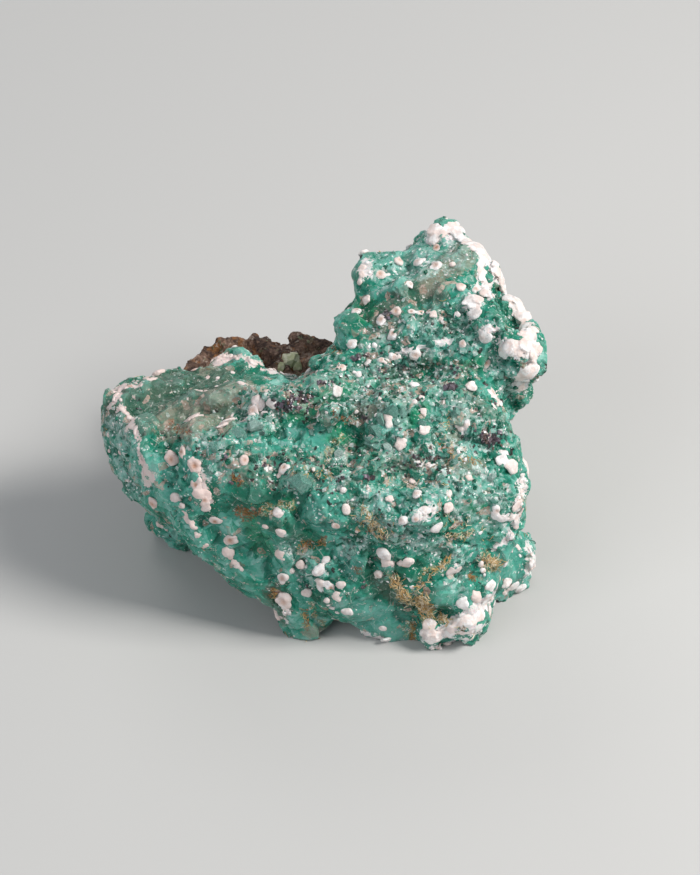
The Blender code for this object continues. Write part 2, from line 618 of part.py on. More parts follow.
# The host rock
host_rock = hulls("host_rock", ROCK_CHUNKS)
fuse(host_rock, ROCK_VOXEL)
break_into_facets(host_rock, spacing=3.5, tilt=0.3, depth=1.2, seed=21)
fuse(host_rock, ROCK_VOXEL)
cut_flat(host_rock)
clear_bed = [point + Vector((0, CONTACT_GAP, 0)) * UNIT for point in BED]
combine(host_rock, hulls("clear_bed", [clear_bed]), "INTERSECT")
drop_crumbs(host_rock)
thin_to(host_rock, ROCK_TRIANGLES)
level_base(host_rock)
give_material(host_rock, "brown_host_rock", (0.22, 0.13, 0.08), roughness=0.8)

# The shape is complete on the bench: its middle moves to the origin
for piece in (melanterite, host_rock):
    piece.data.transform(Matrix.Translation(-placed(MIDDLE_ALONG, MIDDLE_BACK, 0)))
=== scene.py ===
import math
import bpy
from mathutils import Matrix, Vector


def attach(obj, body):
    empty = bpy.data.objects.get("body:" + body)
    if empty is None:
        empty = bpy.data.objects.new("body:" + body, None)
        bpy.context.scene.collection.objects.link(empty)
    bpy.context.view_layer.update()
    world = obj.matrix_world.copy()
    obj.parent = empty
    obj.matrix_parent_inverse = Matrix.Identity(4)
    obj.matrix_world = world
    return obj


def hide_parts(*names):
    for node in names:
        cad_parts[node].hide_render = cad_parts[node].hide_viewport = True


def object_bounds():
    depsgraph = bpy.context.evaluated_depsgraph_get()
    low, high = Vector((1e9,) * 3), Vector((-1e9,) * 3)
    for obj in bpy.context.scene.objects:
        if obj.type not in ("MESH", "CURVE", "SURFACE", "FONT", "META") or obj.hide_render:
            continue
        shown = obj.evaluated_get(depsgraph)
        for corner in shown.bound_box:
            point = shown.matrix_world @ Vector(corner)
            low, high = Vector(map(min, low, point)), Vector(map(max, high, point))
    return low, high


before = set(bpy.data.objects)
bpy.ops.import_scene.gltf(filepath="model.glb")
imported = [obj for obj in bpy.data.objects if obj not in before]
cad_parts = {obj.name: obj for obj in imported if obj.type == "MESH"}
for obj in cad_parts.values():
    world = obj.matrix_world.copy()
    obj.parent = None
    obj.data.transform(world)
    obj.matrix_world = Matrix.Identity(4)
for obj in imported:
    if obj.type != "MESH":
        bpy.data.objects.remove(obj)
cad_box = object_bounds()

from types import SimpleNamespace

import bpy
import numpy as np
from mathutils import Vector
from mathutils.bvhtree import BVHTree
from mathutils.kdtree import KDTree

# The studio: a pale matt table in a pale room, a soft lamp high on the right, larger and weaker
# ones in front on the left and behind, and the camera in front of the specimen and above it.
# Places and sizes in this script are in mm, but for the lamps, the table and what Blender is given.
MM = 0.001
SIGHT_ANGLE = math.radians(42)
SIGHT_DISTANCE = 400
SIGHT_LENS = 119.9
SIGHT_CENTRE = np.array([3.93, -5.77, 21.9])
RIGHT = np.array([1.0, 0.0, 0.0])
UP = np.array([0.0, math.sin(SIGHT_ANGLE), math.cos(SIGHT_ANGLE)])
AWAY = np.array([0.0, math.cos(SIGHT_ANGLE), -math.sin(SIGHT_ANGLE)])
EYE = SIGHT_CENTRE - AWAY * SIGHT_DISTANCE
FLOOR_COLOUR = (0.46, 0.46, 0.45)
FLOOR_RADIUS = 4
ROOM_COLOUR = (0.88, 0.92, 1.0)
ROOM_STRENGTH = 0.33


def only(piece):
    """Selects this piece and nothing else."""
    bpy.ops.object.select_all(action="DESELECT")
    piece.select_set(True)
    bpy.context.view_layer.objects.active = piece


def soft_lamp(place, size, watts, colour):
    """A square lamp, placed and sized in metres, that faces the specimen."""
    bpy.ops.object.light_add(type="AREA", location=place)
    lamp = bpy.context.object
    lamp.data.size = size
    lamp.data.energy = watts
    lamp.data.color = colour
    lamp.rotation_euler = (Vector((0, 0, 0.02)) - Vector(place)).to_track_quat("-Z", "Y").to_euler()


bpy.ops.object.camera_add(location=EYE * MM, rotation=(math.pi / 2 - SIGHT_ANGLE, 0, 0))
bpy.context.scene.camera = bpy.context.object
bpy.context.object.data.lens = SIGHT_LENS
bpy.context.object.data.clip_start = 0.01

bpy.ops.object.select_all(action="DESELECT")
bpy.ops.mesh.primitive_circle_add(vertices=96, radius=FLOOR_RADIUS, fill_type="NGON")
floor = bpy.context.object
floor.name = "floor"
table = bpy.data.materials.new("pale_table")
table.use_nodes = True
table.node_tree.nodes["Principled BSDF"].inputs["Base Color"].default_value = (*FLOOR_COLOUR, 1)
table.node_tree.nodes["Principled BSDF"].inputs["Roughness"].default_value = 0.9
floor.data.materials.append(table)

soft_lamp((0.40, -0.10, 0.44), 0.22, 4.5, (1.0, 0.97, 0.94))
soft_lamp((-0.50, -0.45, 0.45), 0.5, 2.0, (0.94, 0.97, 1.0))
soft_lamp((-0.20, 0.60, 0.42), 0.4, 1.2, (1.0, 0.98, 0.95))
room = bpy.data.worlds.new("room")
room.use_nodes = True
room.node_tree.nodes["Background"].inputs["Color"].default_value = (*ROOM_COLOUR, 1)
room.node_tree.nodes["Background"].inputs["Strength"].default_value = ROOM_STRENGTH
bpy.context.scene.world = room
bpy.context.scene.view_settings.view_transform = "Standard"

# The green mass is melanterite, a soft, translucent iron sulphate that grew as one piece and was
# broken off its rock. Its skin is broken into cleavage faces of many sizes, with ledges across it.
# It starts from the solid, whose stand-ins for the larger crust domes are smoothed away first.
FIRST_VOXEL = 0.45
SKIN_VOXEL = 0.25
SKIN_TRIANGLES = 196000
# How often the stand-ins for domes, and all that is out of sight, are eased
DOME_EASINGS = 12
# Skin below this height lies flat on the table
FLAT_BAND = 0.16
# Crust domes as seen: across, up and radius
DOMES = [
    (2.3, 18.9, .6), (3.4, 12.6, .5), (14, 23.8, .6), (5.3, 22.4, .4), (14.7, 16.9, .6), (1.2, 8.7, .6),
    (2.7, 10.1, .7), (-1.7, 6.4, .9), (8.9, 7.1, .9), (16.7, 7, .9), (20.6, 4.7, .6), (12.9, 4.9, .4),
    (4, 5.3, .4), (8.8, 5.0, .5), (9.9, 5.5, .5), (10.2, 3.6, .6), (5.2, 2.8, .8), (5.4, 1.8, .6),
    (10.2, 1, .8), (7, -.8, .9), (20.9, -2.8, 1.1), (22.3, -4, 1.1), (-19.5, 8.2, .7), (-18.2, 8.2, .4),
    (-18.4, 7, .4), (-16.1, 8.9, .5), (-14.8, 7.4, .8), (-19.8, 6.4, .4), (-12.9, 5.2, .8),
    (-10.7, 4.7, .9), (-11.7, 3.3, .6), (-10.7, 2, .4), (-16.2, 3, .4), (-9.8, -5.3, .5), (-7.1, -9, .4),
    (-16.7, -15.7, 1.0), (-24, -8.3, 1.0), (-20, -14.8, .6), (-9.9, -10.3, .8), (-9.4, -13.1, .9),
    (-9.7, -16, .9), (-11.6, -12.2, .5), (-.5, -9.8, .8), (-6.8, -17.5, .8), (-3.3, -16.8, .7),
    (-4.3, -18.3, .9), (-8, -18.3, .5), (-1.8, -21.7, .9), (-.5, -23.9, .9), (-6, -21.3, .8),
    (4.5, -26.2, .7), (5.1, -27.7, .9), (4.6, -16, 1.2), (5.1, -17.2, 1.0), (8, -17.1, 1.0),
    (8.5, -20.6, .5), (13.5, -9.6, .9), (11.9, -12.4, .9), (13.6, -7.7, .6), (5.4, -8.4, .6),
    (-.9, -7.2, .5), (8.6, -5.9, .5), (16.3, -5.5, .5), (15.4, -22.8, 1.0), (17.3, -21.8, 1.0),
    (19.3, -20.3, 1.0), (21.5, -19.9, .8), (23.4, -20.6, 1.0), (20.4, -23.4, .5), (23, -15, .6),
    (1.0, -12.9, .4), (13.9, -13.9, .4), (-21.0, 3.2, .4), (-5.0, -4.4, .4), (2.4, -6.8, .35),
    (17.9, -13.1, .4), (11.1, -17.5, .3),
]
# The same for domes that have a dimple with a tan heart
HEARTED_DOMES = [
    (0.9, 17.4, .8), (4.3, 16.1, .9), (6.4, 17.3, .8), (5.9, 14.2, .9), (0.2, 12.8, .8), (9, 11.4, 1.0),
    (18.7, 10.2, .8), (15.5, 12.9, .7), (11.8, 23.5, 1.0), (11.9, 26, .9), (6.7, 24.2, .8), (9.4, 24, .9),
    (4.1, 22.4, .9), (8.1, 21, .7), (15.2, 20.7, .8), (17.2, 20.3, .8), (-1.2, 9.6, .8), (19.3, 6.1, 1.2),
    (2.9, 0, .6), (-13.3, 3.6, 1.0), (-23, -2, .8), (-24.5, -3, 1.1), (-14.5, -3.1, .8), (-9, -4.3, 1.0),
    (-18.5, -11.4, .9), (-16.4, -14, 1.1), (-27, -9, 1.0), (-1.8, -12, .8), (-9.2, -19.2, .9),
    (-9, -22.3, 1.2), (3.9, -18.8, .7), (7.2, -11.4, .7), (9.2, -7.8, .8),
]
# Ledges, ridges and troughs in the skin: half width, height and route as seen
LEDGES = [
    (0.7, 0.7, [(-10, 4.6), (-6, 5.4), (-3, 7.2), (0.5, 8.6), (4, 10.3), (8, 11.4)]),
    (0.5, -0.7, [(-11.5, 1.2), (-7, 3.2), (-3, 4.6), (2, 6.0), (6, 7.8), (10, 9.0)]),
    (0.4, 0.5, [(-9, 3.4), (-4, 5.4), (1, 6.9), (6, 9.3)]),
    (0.5, 0.6, [(-4, 2.6), (1, 4.2), (5, 6.0), (8, 7.0), (11.5, 6.6)]),
    (0.4, 0.6, [(5, 9.3), (9, 11.0), (14, 12.6), (19, 14.4)]),
    (0.4, -0.4, [(6, 8.7), (10, 10.0), (15, 11.4)]),
    (0.5, -0.5, [(10, 14.4), (13, 14.6), (16, 15.2)]),
    (0.6, 0.5, [(-19, 5.2), (-14.5, 6.0), (-11.5, 5.2)]),
    (0.5, -0.3, [(-21, 0.2), (-17, 0.6), (-13, -0.2)]),
    (0.5, 0.3, [(-22.5, -9.5), (-21.5, -12), (-20, -14.6)]),
    (0.5, -0.45, [(-14, -10.5), (-12, -14), (-11.2, -19)]),
    (0.4, 0.35, [(-10, -9), (-9.5, -13), (-9.7, -17), (-9, -20)]),
    (0.4, -0.6, [(8.6, -28.5), (8.6, -26), (8, -24.5)]),
    (0.5, -0.45, [(3.2, -13.5), (2.8, -19), (3.8, -22), (3.8, -25)]),
    (0.5, 0.4, [(18, -16.3), (20.3, -16.6), (20.5, -19.5), (18.6, -22.4)]),
    (0.5, -0.4, [(11, -12.8), (14, -14.0), (18, -14.6)]),
    (0.4, 0.3, [(9.0, -21.5), (12.5, -18.3), (14.6, -15.6)]),
    (0.5, -0.4, [(-3.5, -14.2), (-0.5, -13.6), (2.0, -14.8)]),
]
# Where the hollow at the foot of the arm is shallower than in the solid: half width and route as
# seen. It is eased in rounds.
SHALLOWS = [(3.2, [(1, 9.4), (8, 10.2), (15, 11.0)])]
SHALLOW_ROUNDS = 5
SHALLOW_EASINGS = 60
# Where the skin is plain and glassy: half width and route as seen
GLASSY = [
    (4.0, [(-14, -11), (-13.2, -19)]), (2.6, [(-18.6, -6), (-17, -12)]),
    (2.6, [(-32, 1), (-30, -4), (-27.5, -10)]), (3.6, [(-29, 4.5), (-22, 6.5), (-14, 8.6)]),
    (2.6, [(11, -18), (14, -22)]), (2.6, [(-6, -24.5), (-3.5, -25.5)]),
    (2.0, [(0, -23.5), (4, -25.5), (7, -26.5)]), (3.4, [(5, 21.5), (10, 23), (14, 25)]),
    (2.6, [(2, 15), (6, 19), (12, 20.4)]), (2.4, [(22.5, -17), (22.5, -20)]), (2.0, [(-7, -11), (-5, -15)]),
    (2.0, [(1.5, -21), (5, -22)]), (1.8, [(17, -10), (19, -12)]),
]
# Cleavage faces, coarse to fine: how far apart, how far turned, step, deepest cut and seed
CLEAVAGE = [
    (4.6, 0.15, 0.10, 0.40, 11),
    (2.0, 0.27, 0.13, 0.34, 12),
    (0.95, 0.30, 0.07, 0.16, 13),
]


def copy_of(piece, name):
    """A copy of a piece, linked to the scene."""
    made = bpy.data.objects.new(name, piece.data.copy())
    bpy.context.scene.collection.objects.link(made)
    return made


def copy_of_node(node, name):
    """A copy of a solid as a connected mesh."""
    piece = copy_of(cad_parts[node], name)
    only(piece)
    bpy.ops.object.mode_set(mode="EDIT")
    bpy.ops.mesh.select_all(action="SELECT")
    bpy.ops.mesh.remove_doubles(threshold=0.000001)
    bpy.ops.object.mode_set(mode="OBJECT")
    return piece


def finish_with(piece, kind, **settings):
    """Adds one modifier and applies it."""
    only(piece)
    modifier = piece.modifiers.new(kind.title(), kind)
    for setting, value in settings.items():
        setattr(modifier, setting, value)
    bpy.ops.object.modifier_apply(modifier=modifier.name)


def smooth(piece, iterations):
    finish_with(piece, "SMOOTH", factor=0.5, iterations=iterations)


def reskin(piece, voxel, smoothings):
    """Gives a piece a new skin with faces of this size and smooths it a little."""
    finish_with(piece, "REMESH", mode="VOXEL", voxel_size=voxel * MM)
    smooth(piece, smoothings)


def points_of(piece):
    points = np.empty(len(piece.data.vertices) * 3)
    piece.data.vertices.foreach_get("co", points)
    return points.reshape(-1, 3) / MM


def normals_of(piece):
    normals = np.empty(len(piece.data.vertices) * 3)
    piece.data.vertex_normals.foreach_get("vector", normals)
    return normals.reshape(-1, 3)


def put_points(piece, points):
    """Moves the points of a piece, kept inside the solids' box and so on or above the table."""
    low, high = (np.array(corner) / MM for corner in cad_box)
    points = np.clip(points, low, high)
    piece.data.vertices.foreach_set("co", (points * MM).ravel())
    piece.data.update()


def thin_to(piece, triangles):
    """Collapses edges until about this many triangles are left, still inside the solids' box."""
    now = sum(face.loop_total - 2 for face in piece.data.polygons)
    if now > triangles:
        finish_with(piece, "DECIMATE", ratio=triangles / now, use_collapse_triangulate=True)
        put_points(piece, points_of(piece))


def sighted(points):
    """Where points are seen: across and up."""
    from_eye = points - EYE
    depth = from_eye @ AWAY / SIGHT_DISTANCE
    return np.column_stack([from_eye @ RIGHT, from_eye @ UP]) / depth[:, None]


def facing_eye(points, normals, beyond=0.5):
    """1 where the skin faces the camera, 0 where it faces away. More beyond reaches further round."""
    to_eye = EYE - points
    to_eye /= np.linalg.norm(to_eye, axis=1)[:, None]
    return np.clip((normals * to_eye).sum(axis=1) * 4 + beyond, 0, 1)


def cloud(points, size, seed):
    """Smooth random values from 0 to 1 in space, in lumps of about this size."""
    lattice = np.random.default_rng(seed).random((32, 32, 32))
    place = points / size + 500
    corner = np.floor(place).astype(int)
    share = place - corner
    share = share * share * (3 - 2 * share)
    total = np.zeros(len(points))
    for step in np.ndindex(2, 2, 2):
        weight = np.prod(np.where(step, share, 1 - share), axis=1)
        total += weight * lattice[tuple(((corner + step) % 32).T)]
    return total


def wander(points, amount, seed):
    """Smooth random steps across and up, so that a route followed with them has an uneven edge."""
    steps = []
    for axis in (0, 1):
        long_waves = (cloud(points, 2.4, seed + axis) - 0.5) * 2 * amount
        short_waves = (cloud(points, 0.8, seed + 5 + axis) - 0.5) * amount
        steps.append(long_waves + short_waves)
    return np.column_stack(steps)


def route_distance(views, route):
    """How far each sighted place is from a route."""
    route = np.array(route, float)
    distance = np.linalg.norm(views - route[0], axis=1)
    for start, end in zip(route[:-1], route[1:]):
        run = end - start
        share = np.clip((views - start) @ run / (run @ run), 0, 1)
        distance = np.minimum(distance, np.linalg.norm(views - start - share[:, None] * run, axis=1))
    return distance


def painted(views, strokes):
    """How strongly strokes of (half width, route) cover each place: 1 inside and 0 well outside."""
    cover = np.zeros(len(views))
    for half_width, route in strokes:
        cover = np.maximum(cover, np.clip(1.6 - route_distance(views, route) / half_width, 0, 1))
    return cover


def ease(piece, iterations, share):
    """Smooths a piece where the share is high."""
    before = points_of(piece)
    smooth(piece, iterations)
    put_points(piece, before + (points_of(piece) - before) * share[:, None])


def area_of(piece):
    return sum(face.area for face in piece.data.polygons) / MM ** 2


def cleave(points, normals, area, spacing, tilt, step, depth, seed, strength=1.0):
    """Moves each point to the flat face nearest to it, with a short slope between faces."""
    chance = np.random.default_rng(seed)
    count = int(area / spacing ** 2)
    chosen = chance.choice(len(points), min(count, len(points) // 3), replace=False)
    facing = normals[chosen] + chance.normal(0, tilt, (len(chosen), 3))
    facing /= np.linalg.norm(facing, axis=1)[:, None]
    origins = points[chosen] + normals[chosen] * chance.uniform(-step, step, len(chosen))[:, None]
    tree = KDTree(len(chosen))
    for number, origin in enumerate(points[chosen]):
        tree.insert(origin, number)
    tree.balance()
    near = [tree.find_n(point, 3) for point in points]
    index = np.array([[found[1] for found in row] for row in near])
    gap = np.array([[found[2] for found in row] for row in near])
    weight = np.exp(-(gap - gap[:, :1]) / (0.07 * spacing))
    weight /= weight.sum(axis=1)[:, None]
    slant = np.maximum((facing[index] * normals[:, None, :]).sum(axis=2), 0.5)
    offset = ((origins[index] - points[:, None, :]) * facing[index]).sum(axis=2) / slant
    moved = np.clip((offset * weight).sum(axis=1), -depth, depth) * strength
    return points + normals * moved[:, None]


def glassy_at(points, views, in_sight):
    """Where the skin is plain and glassy: as the photo shows it and, out of sight, at random."""
    return painted(views, GLASSY) * in_sight + (1 - in_sight) * (cloud(points, 7, 5) > 0.55)


mass = copy_of_node("melanterite", "melanterite_mass")
reskin(mass, FIRST_VOXEL, 2)
points = points_of(mass)
views = sighted(points)
calm = 1 - facing_eye(points, normals_of(mass))
for across, up, radius in DOMES + HEARTED_DOMES:
    reach = np.linalg.norm(views - (across, up), axis=1) / radius
    calm = np.maximum(calm, np.clip(2.4 - reach, 0, 1))
ease(mass, DOME_EASINGS, calm)
shallow = painted(views, SHALLOWS) * facing_eye(points, normals_of(mass), 2.0)
for _ in range(SHALLOW_ROUNDS):
    ease(mass, SHALLOW_EASINGS, shallow)
reskin(mass, SKIN_VOXEL, 2)

points = points_of(mass)
normals = normals_of(mass)
views = sighted(points)
in_sight = facing_eye(points, normals)
uneven = views + wander(points, 0.5, 101)
for half_width, height, route in LEDGES:
    rise = np.clip(1.4 - route_distance(uneven, route) / half_width, 0, 1) * in_sight
    points = points + normals * (rise * height)[:, None]
glassy = glassy_at(points, views, in_sight)
for level, (spacing, tilt, step, depth, seed) in enumerate(CLEAVAGE):
    strength = 1 - 0.45 * level * glassy
    points = cleave(points, normals, area_of(mass), spacing, tilt, step, depth, seed, strength)
points = points + normals * ((cloud(points, 0.5, 8) - 0.5) * 0.12 * (1 - 0.8 * glassy))[:, None]
points[points[:, 2] < FLAT_BAND, 2] = 0
put_points(mass, points)
thin_to(mass, SKIN_TRIANGLES)
only(mass)
bpy.ops.object.shade_smooth_by_angle(angle=math.radians(16))

# The colours of the mass: clear crystal from deep green to pale aqua, olive and beige weathering,
# frosty and gritty belts where it is crushed, rust and ochre stains and a chalky film. Strokes of
# half width and route as seen lay them out in front; elsewhere they lie at random.
AREAS = {
    "frost": [
        (1.5, [(5, 9.4), (9, 11.2), (14, 12.8), (19, 14.6)]), (1.7, [(6.2, 0), (6.4, 4)]),
        (2.4, [(12.5, -5), (16, -6), (20, -8)]), (2.2, [(12.5, -1.5), (18, 0.4)]),
        (1.8, [(-14.5, 3.6), (-11, 3.4), (-12.6, 5.2)]), (1.6, [(12, 7.5), (13, 3.2), (16, 3.4)]),
        (1.2, [(-1.5, -2)]), (1.1, [(-1.7, -5.6)]), (1.4, [(8, 14.2), (13, 14.8)]),
        (1.4, [(15.5, 15.4), (16.8, 19.2)]), (1.3, [(3, 12.4), (6, 13.2)]), (1.3, [(-2, 4.4), (4, 7.0)]),
        (1.2, [(-19, -0.6), (-17.8, -2.6), (-19.6, -4.4)]), (1.5, [(8.5, -14), (12, -15.5)]),
        (1.8, [(3, -9.5), (7, -10), (8.5, -12.5)]), (1.2, [(14.5, -16), (15, -20)]),
        (1.5, [(20.5, 9.5), (22, 7.4)]), (1.4, [(9.8, -9), (12.5, -6.8)]), (1.5, [(16, -10), (21, -13)]),
        (1.2, [(-8, -15), (-5, -19)]), (1.0, [(0, -15), (3, -14)]), (2.6, [(5, 23), (9.6, 24), (14, 26.4)]),
        (1.8, [(-32, 1), (-31, -3), (-29.5, -7)]),
    ],
    "grit": [
        (1.8, [(-14.5, 5.4), (-10, 4.6), (-6, 5.4)]), (2.2, [(-17, -3.4), (-9, -4.6), (-1, -4.6)]),
        (2.4, [(1, -3.6), (8, -3.6), (13, -3.4)]), (2.0, [(14, 7), (17, 4), (20, 0.4)]),
        (1.4, [(-2, 8.4), (3, 9.6), (7, 11.6)]), (1.6, [(3, 13.6), (7, 17.2)]),
        (1.5, [(8.6, 17), (13, 16.6)]), (1.6, [(-3, 3.4), (2, 3.8), (8, 6.4)]),
        (1.5, [(1, -9), (5, -12.6)]), (1.0, [(-23, 0), (-17, -1.4)]), (1.2, [(12, 9), (16, 9.6)]),
        (0.8, [(-9, 10.4), (-2, 6.2)]),
    ],
    "olive": [
        (3.4, [(-31, 3.4), (-26, 5.6), (-19, 7.4)]), (1.5, [(11, 21.5), (13.5, 24.5)]),
        (1.4, [(3, 14.4), (6, 18)]), (1.4, [(5, -20.6), (8.4, -22.6)]), (1.1, [(-2.8, 2.8), (3, 4.6)]),
        (1.2, [(-10.6, -21), (-9.6, -24)]), (1.6, [(6, 8.6), (10, 10.6)]), (1.2, [(7, 19), (12, 20)]),
    ],
    "beige": [
        (2.4, [(-23.5, 1.6), (-18, 3.6)]), (1.4, [(-18.5, 4.8), (-14.5, 6.2)]),
        (1.6, [(11, 21.5), (15, 24.5), (16, 26)]), (1.0, [(2, 3.4), (7, 5.4)]),
        (1.2, [(8.5, -3.2), (12, -4.4)]), (1.2, [(14, -3.4), (17, -4.6)]), (1.0, [(15, 2.6), (13.8, 0)]),
        (0.8, [(-6, -26.6), (-3, -26.8)]), (0.7, [(-20, 9.6), (-17, 11)]),
    ],
    "deep": [
        (1.6, [(0.4, 1), (1.6, -1.6)]), (2.0, [(-6.8, -10), (-6.8, -14)]),
        (1.6, [(6.8, -19), (9.4, -18.4)]), (1.5, [(16, -10.2), (18.5, -11.6)]),
        (1.2, [(-20.6, -3), (-19.6, -9)]), (1.2, [(-4, 2.2), (1, 4)]), (1.5, [(9.5, 8.4), (13.5, 10.2)]),
        (1.6, [(13, -12), (10.6, -16)]), (1.8, [(-11, -8), (-15, -8)]),
        (1.2, [(-12, 1), (-6, 3.6), (0, 5.6)]), (1.2, [(2.8, -18), (3.2, -22)]),
        (1.2, [(14.5, 14), (13.6, 17)]), (1.2, [(-25.5, -1.6), (-24, -6)]),
        (1.6, [(-21, 7.6), (-13, 8.2)]), (1.4, [(17, 15), (15.6, 18)]), (1.3, [(0.4, 15.4), (2.4, 17)]),
        (1.2, [(20.8, 17), (21.6, 14.6)]), (1.1, [(22.2, 7.6)]),
    ],
    "vivid": [
        (1.0, [(-14, -11.2), (-12.6, -13.4), (-11.6, -15.4)]),
        (1.1, [(-11, 2.4), (-5, 4.6), (0, 6.2), (5, 8.2)]), (0.9, [(19.2, -10.6), (17, -9.2)]),
        (0.9, [(-5.5, -7), (-8, -8.4)]), (0.9, [(6, 9.8), (10, 12)]), (1.3, [(3.2, 16.2), (1.6, 18)]),
        (1.0, [(16.4, 10), (20, 10.4)]), (1.0, [(7.4, 1.6), (11, 5.8)]),
        (0.9, [(-2.8, 0.6), (0.6, -0.6)]), (1.0, [(5.8, 8), (9, 8.6)]),
    ],
    "aqua": [
        (2.0, [(-5.8, -8), (-3.4, -11)]), (1.8, [(-1.6, -14.4), (0.4, -17.6)]),
        (1.6, [(5.2, -1.4), (5.4, 3.4)]), (1.7, [(-7, -5.8)]), (1.2, [(-12.6, 1.6)]),
        (1.3, [(-15.4, 0.4)]), (2.0, [(2, -24), (7, -26)]), (2.2, [(22.6, -17), (22, -20.5)]),
        (1.6, [(6, 20.4), (9, 22)]), (1.3, [(-22, -4.5), (-21, -1)]), (1.0, [(7, 9.6), (13, 11.8)]),
        (1.4, [(5, 24), (9, 25)]), (1.2, [(-3.8, -1.8), (-4.6, 0.6)]),
        (1.3, [(10.4, -26.8), (14, -27.4)]), (1.4, [(-26, -4.6), (-24.6, -6)]),
    ],
    "rust": [
        (0.6, [(-15.4, -10.0), (-14.0, -10.6), (-12.8, -10.2)]), (0.5, [(-16, -5.2), (-15.4, -6.4)]),
        (0.6, [(-6.6, -14.8)]), (0.6, [(-4, -14.3)]), (0.6, [(1.2, -18.5)]), (0.5, [(16.7, -19)]),
        (0.5, [(-10.5, -21)]), (0.6, [(12.6, -0.8)]), (0.4, [(-6.4, -24), (-6.0, -25.8)]),
        (0.4, [(9.4, -3)]), (0.5, [(-24, 1.8), (-22, 0.8)]), (0.5, [(-2, 4.2), (-0.6, 2.2)]),
        (0.4, [(1.6, 2.6)]), (0.4, [(-2, 12)]),
    ],
    "ochre": [
        (0.6, [(6, -19.2), (7, -21.4), (8.6, -22.4)]), (0.8, [(9.6, -22), (10.8, -24.6)]),
        (0.7, [(18.4, -16.6), (20.4, -17.4)]), (0.5, [(8.5, -28.6), (8.5, -25.6)]),
        (0.5, [(12.4, -24.6), (15.4, -26.2)]), (0.3, [(9.4, -20.6), (13.6, -16.6)]),
        (0.4, [(13.4, -13.6), (16.4, -13.4)]), (0.5, [(-4.8, -23.6), (-4, -25.4)]),
        (0.6, [(2, -9.6), (4.4, -13.4)]), (0.6, [(-12.4, -10), (-8, -9.4)]), (0.5, [(-3, -3), (-1, 0)]),
        (0.5, [(13.4, -0.6), (13.8, -3.8)]),
    ],
    "film": [
        (0.6, [(16.8, 26.8), (19.4, 24.0), (21.6, 20.6)]),
        (0.6, [(21.9, 19.8), (23.8, 16.2), (25.6, 12)]),
        (0.4, [(17.6, 24.0), (18.2, 21.8), (19.2, 19.2)]), (0.9, [(17.2, 17.9)]), (1.0, [(18.6, 14.5)]),
        (0.8, [(21.6, 12.4), (24.6, 12.0)]), (0.8, [(25.2, 10.2), (23.4, 7.2)]),
        (1.3, [(11.6, 28.2), (14.6, 28.4)]), (0.7, [(1.4, 22.2), (2, 24)]),
        (0.3, [(-32.8, 4.6), (-31.4, 6.6), (-29, 7.6)]),
        (0.25, [(-31.6, 4.4), (-29.4, 1.6), (-28.8, -3), (-27.4, -6.4)]),
        (0.4, [(24.2, -5.6), (23.4, -8), (23.2, -12)]), (0.4, [(22.6, -13.2), (20, -15.2)]),
        (0.6, [(24.4, -15.2), (25, -17), (24.6, -19)]),
        (0.8, [(10.4, -27.2), (13.6, -26.6), (17, -24.6), (19.2, -22.2)]),
        (0.3, [(11, -29.2), (15, -28.2), (18, -26)]), (0.6, [(8.8, -10.8), (11, -9.6)]),
        (0.45, [(7, 11.4), (10, 12.2), (13, 12.9)]),
        (0.35, [(-18, 10.9), (-14, 10.4), (-9.4, 9.4), (-7.6, 8.5)]), (0.3, [(-8.8, -24.8), (-9.6, -22)]),
        (0.25, [(1, -26.2), (7, -28.2)]), (0.4, [(-21, -5), (-19.6, -9)]),
    ],
}
# How common each area is where the specimen isn't seen: lump size, share and seed
UNSEEN = {
    "frost": (3.4, 0.34, 31), "grit": (5.4, 0.26, 39), "olive": (7.5, 0.34, 40), "beige": (5.0, 0.20, 32),
    "deep": (3.8, 0.30, 33), "vivid": (3.6, 0.16, 34), "aqua": (5.5, 0.30, 35), "rust": (2.2, 0.10, 36),
    "ochre": (2.8, 0.12, 37), "film": (4.4, 0.16, 38),
}
# The tint of the crust and of the film on the left
PINKISH = (0.66, 0.50, 0.46)


def hollows_of(piece, rounds):
    """From 0 on ridges to 1 in hollows, 0.5 where the skin is even. More rounds find larger ones."""
    points = points_of(piece)
    ends = np.empty(len(piece.data.edges) * 2, np.int32)
    piece.data.edges.foreach_get("vertices", ends)
    first, second = ends.reshape(-1, 2).T
    neighbours = np.bincount(ends, minlength=len(points))
    evened = points
    for _ in range(rounds):
        beside = np.column_stack([
            np.bincount(first, evened[second, axis], len(points))
            + np.bincount(second, evened[first, axis], len(points))
            for axis in range(3)
        ])
        evened = (evened + beside / neighbours[:, None]) / 2
    depth = ((evened - points) * normals_of(piece)).sum(axis=1)
    usual_most = np.quantile(np.abs(depth), 0.9)
    return np.clip(0.5 + 0.5 * depth / usual_most, 0, 1)


def keep_values(piece, name, values, domain="POINT"):
    """Keeps one number for each point or face under a name that the material reads."""
    made = piece.data.attributes.new(name, "FLOAT", domain)
    made.data.foreach_set("value", values.astype(np.float32))


class Wire:
    """An output in a material. Sums and products of wires add the nodes that work them out."""

    def __init__(self, paint, socket):
        self.paint = paint
        self.socket = socket

    def __add__(self, other):
        return self.paint.maths("ADD", self, other)

    def __sub__(self, other):
        return self.paint.maths("SUBTRACT", self, other)

    def __mul__(self, other):
        return self.paint.maths("MULTIPLY", self, other)

    def between(self, low, high):
        """0 on the side of low, 1 on the side of high and a smooth slope between the two."""
        made = self.paint.node("ShaderNodeMapRange", Value=self)
        made.interpolation_type = "SMOOTHSTEP"
        made.inputs["From Min"].default_value = low
        made.inputs["From Max"].default_value = high
        return Wire(self.paint, made.outputs["Result"])


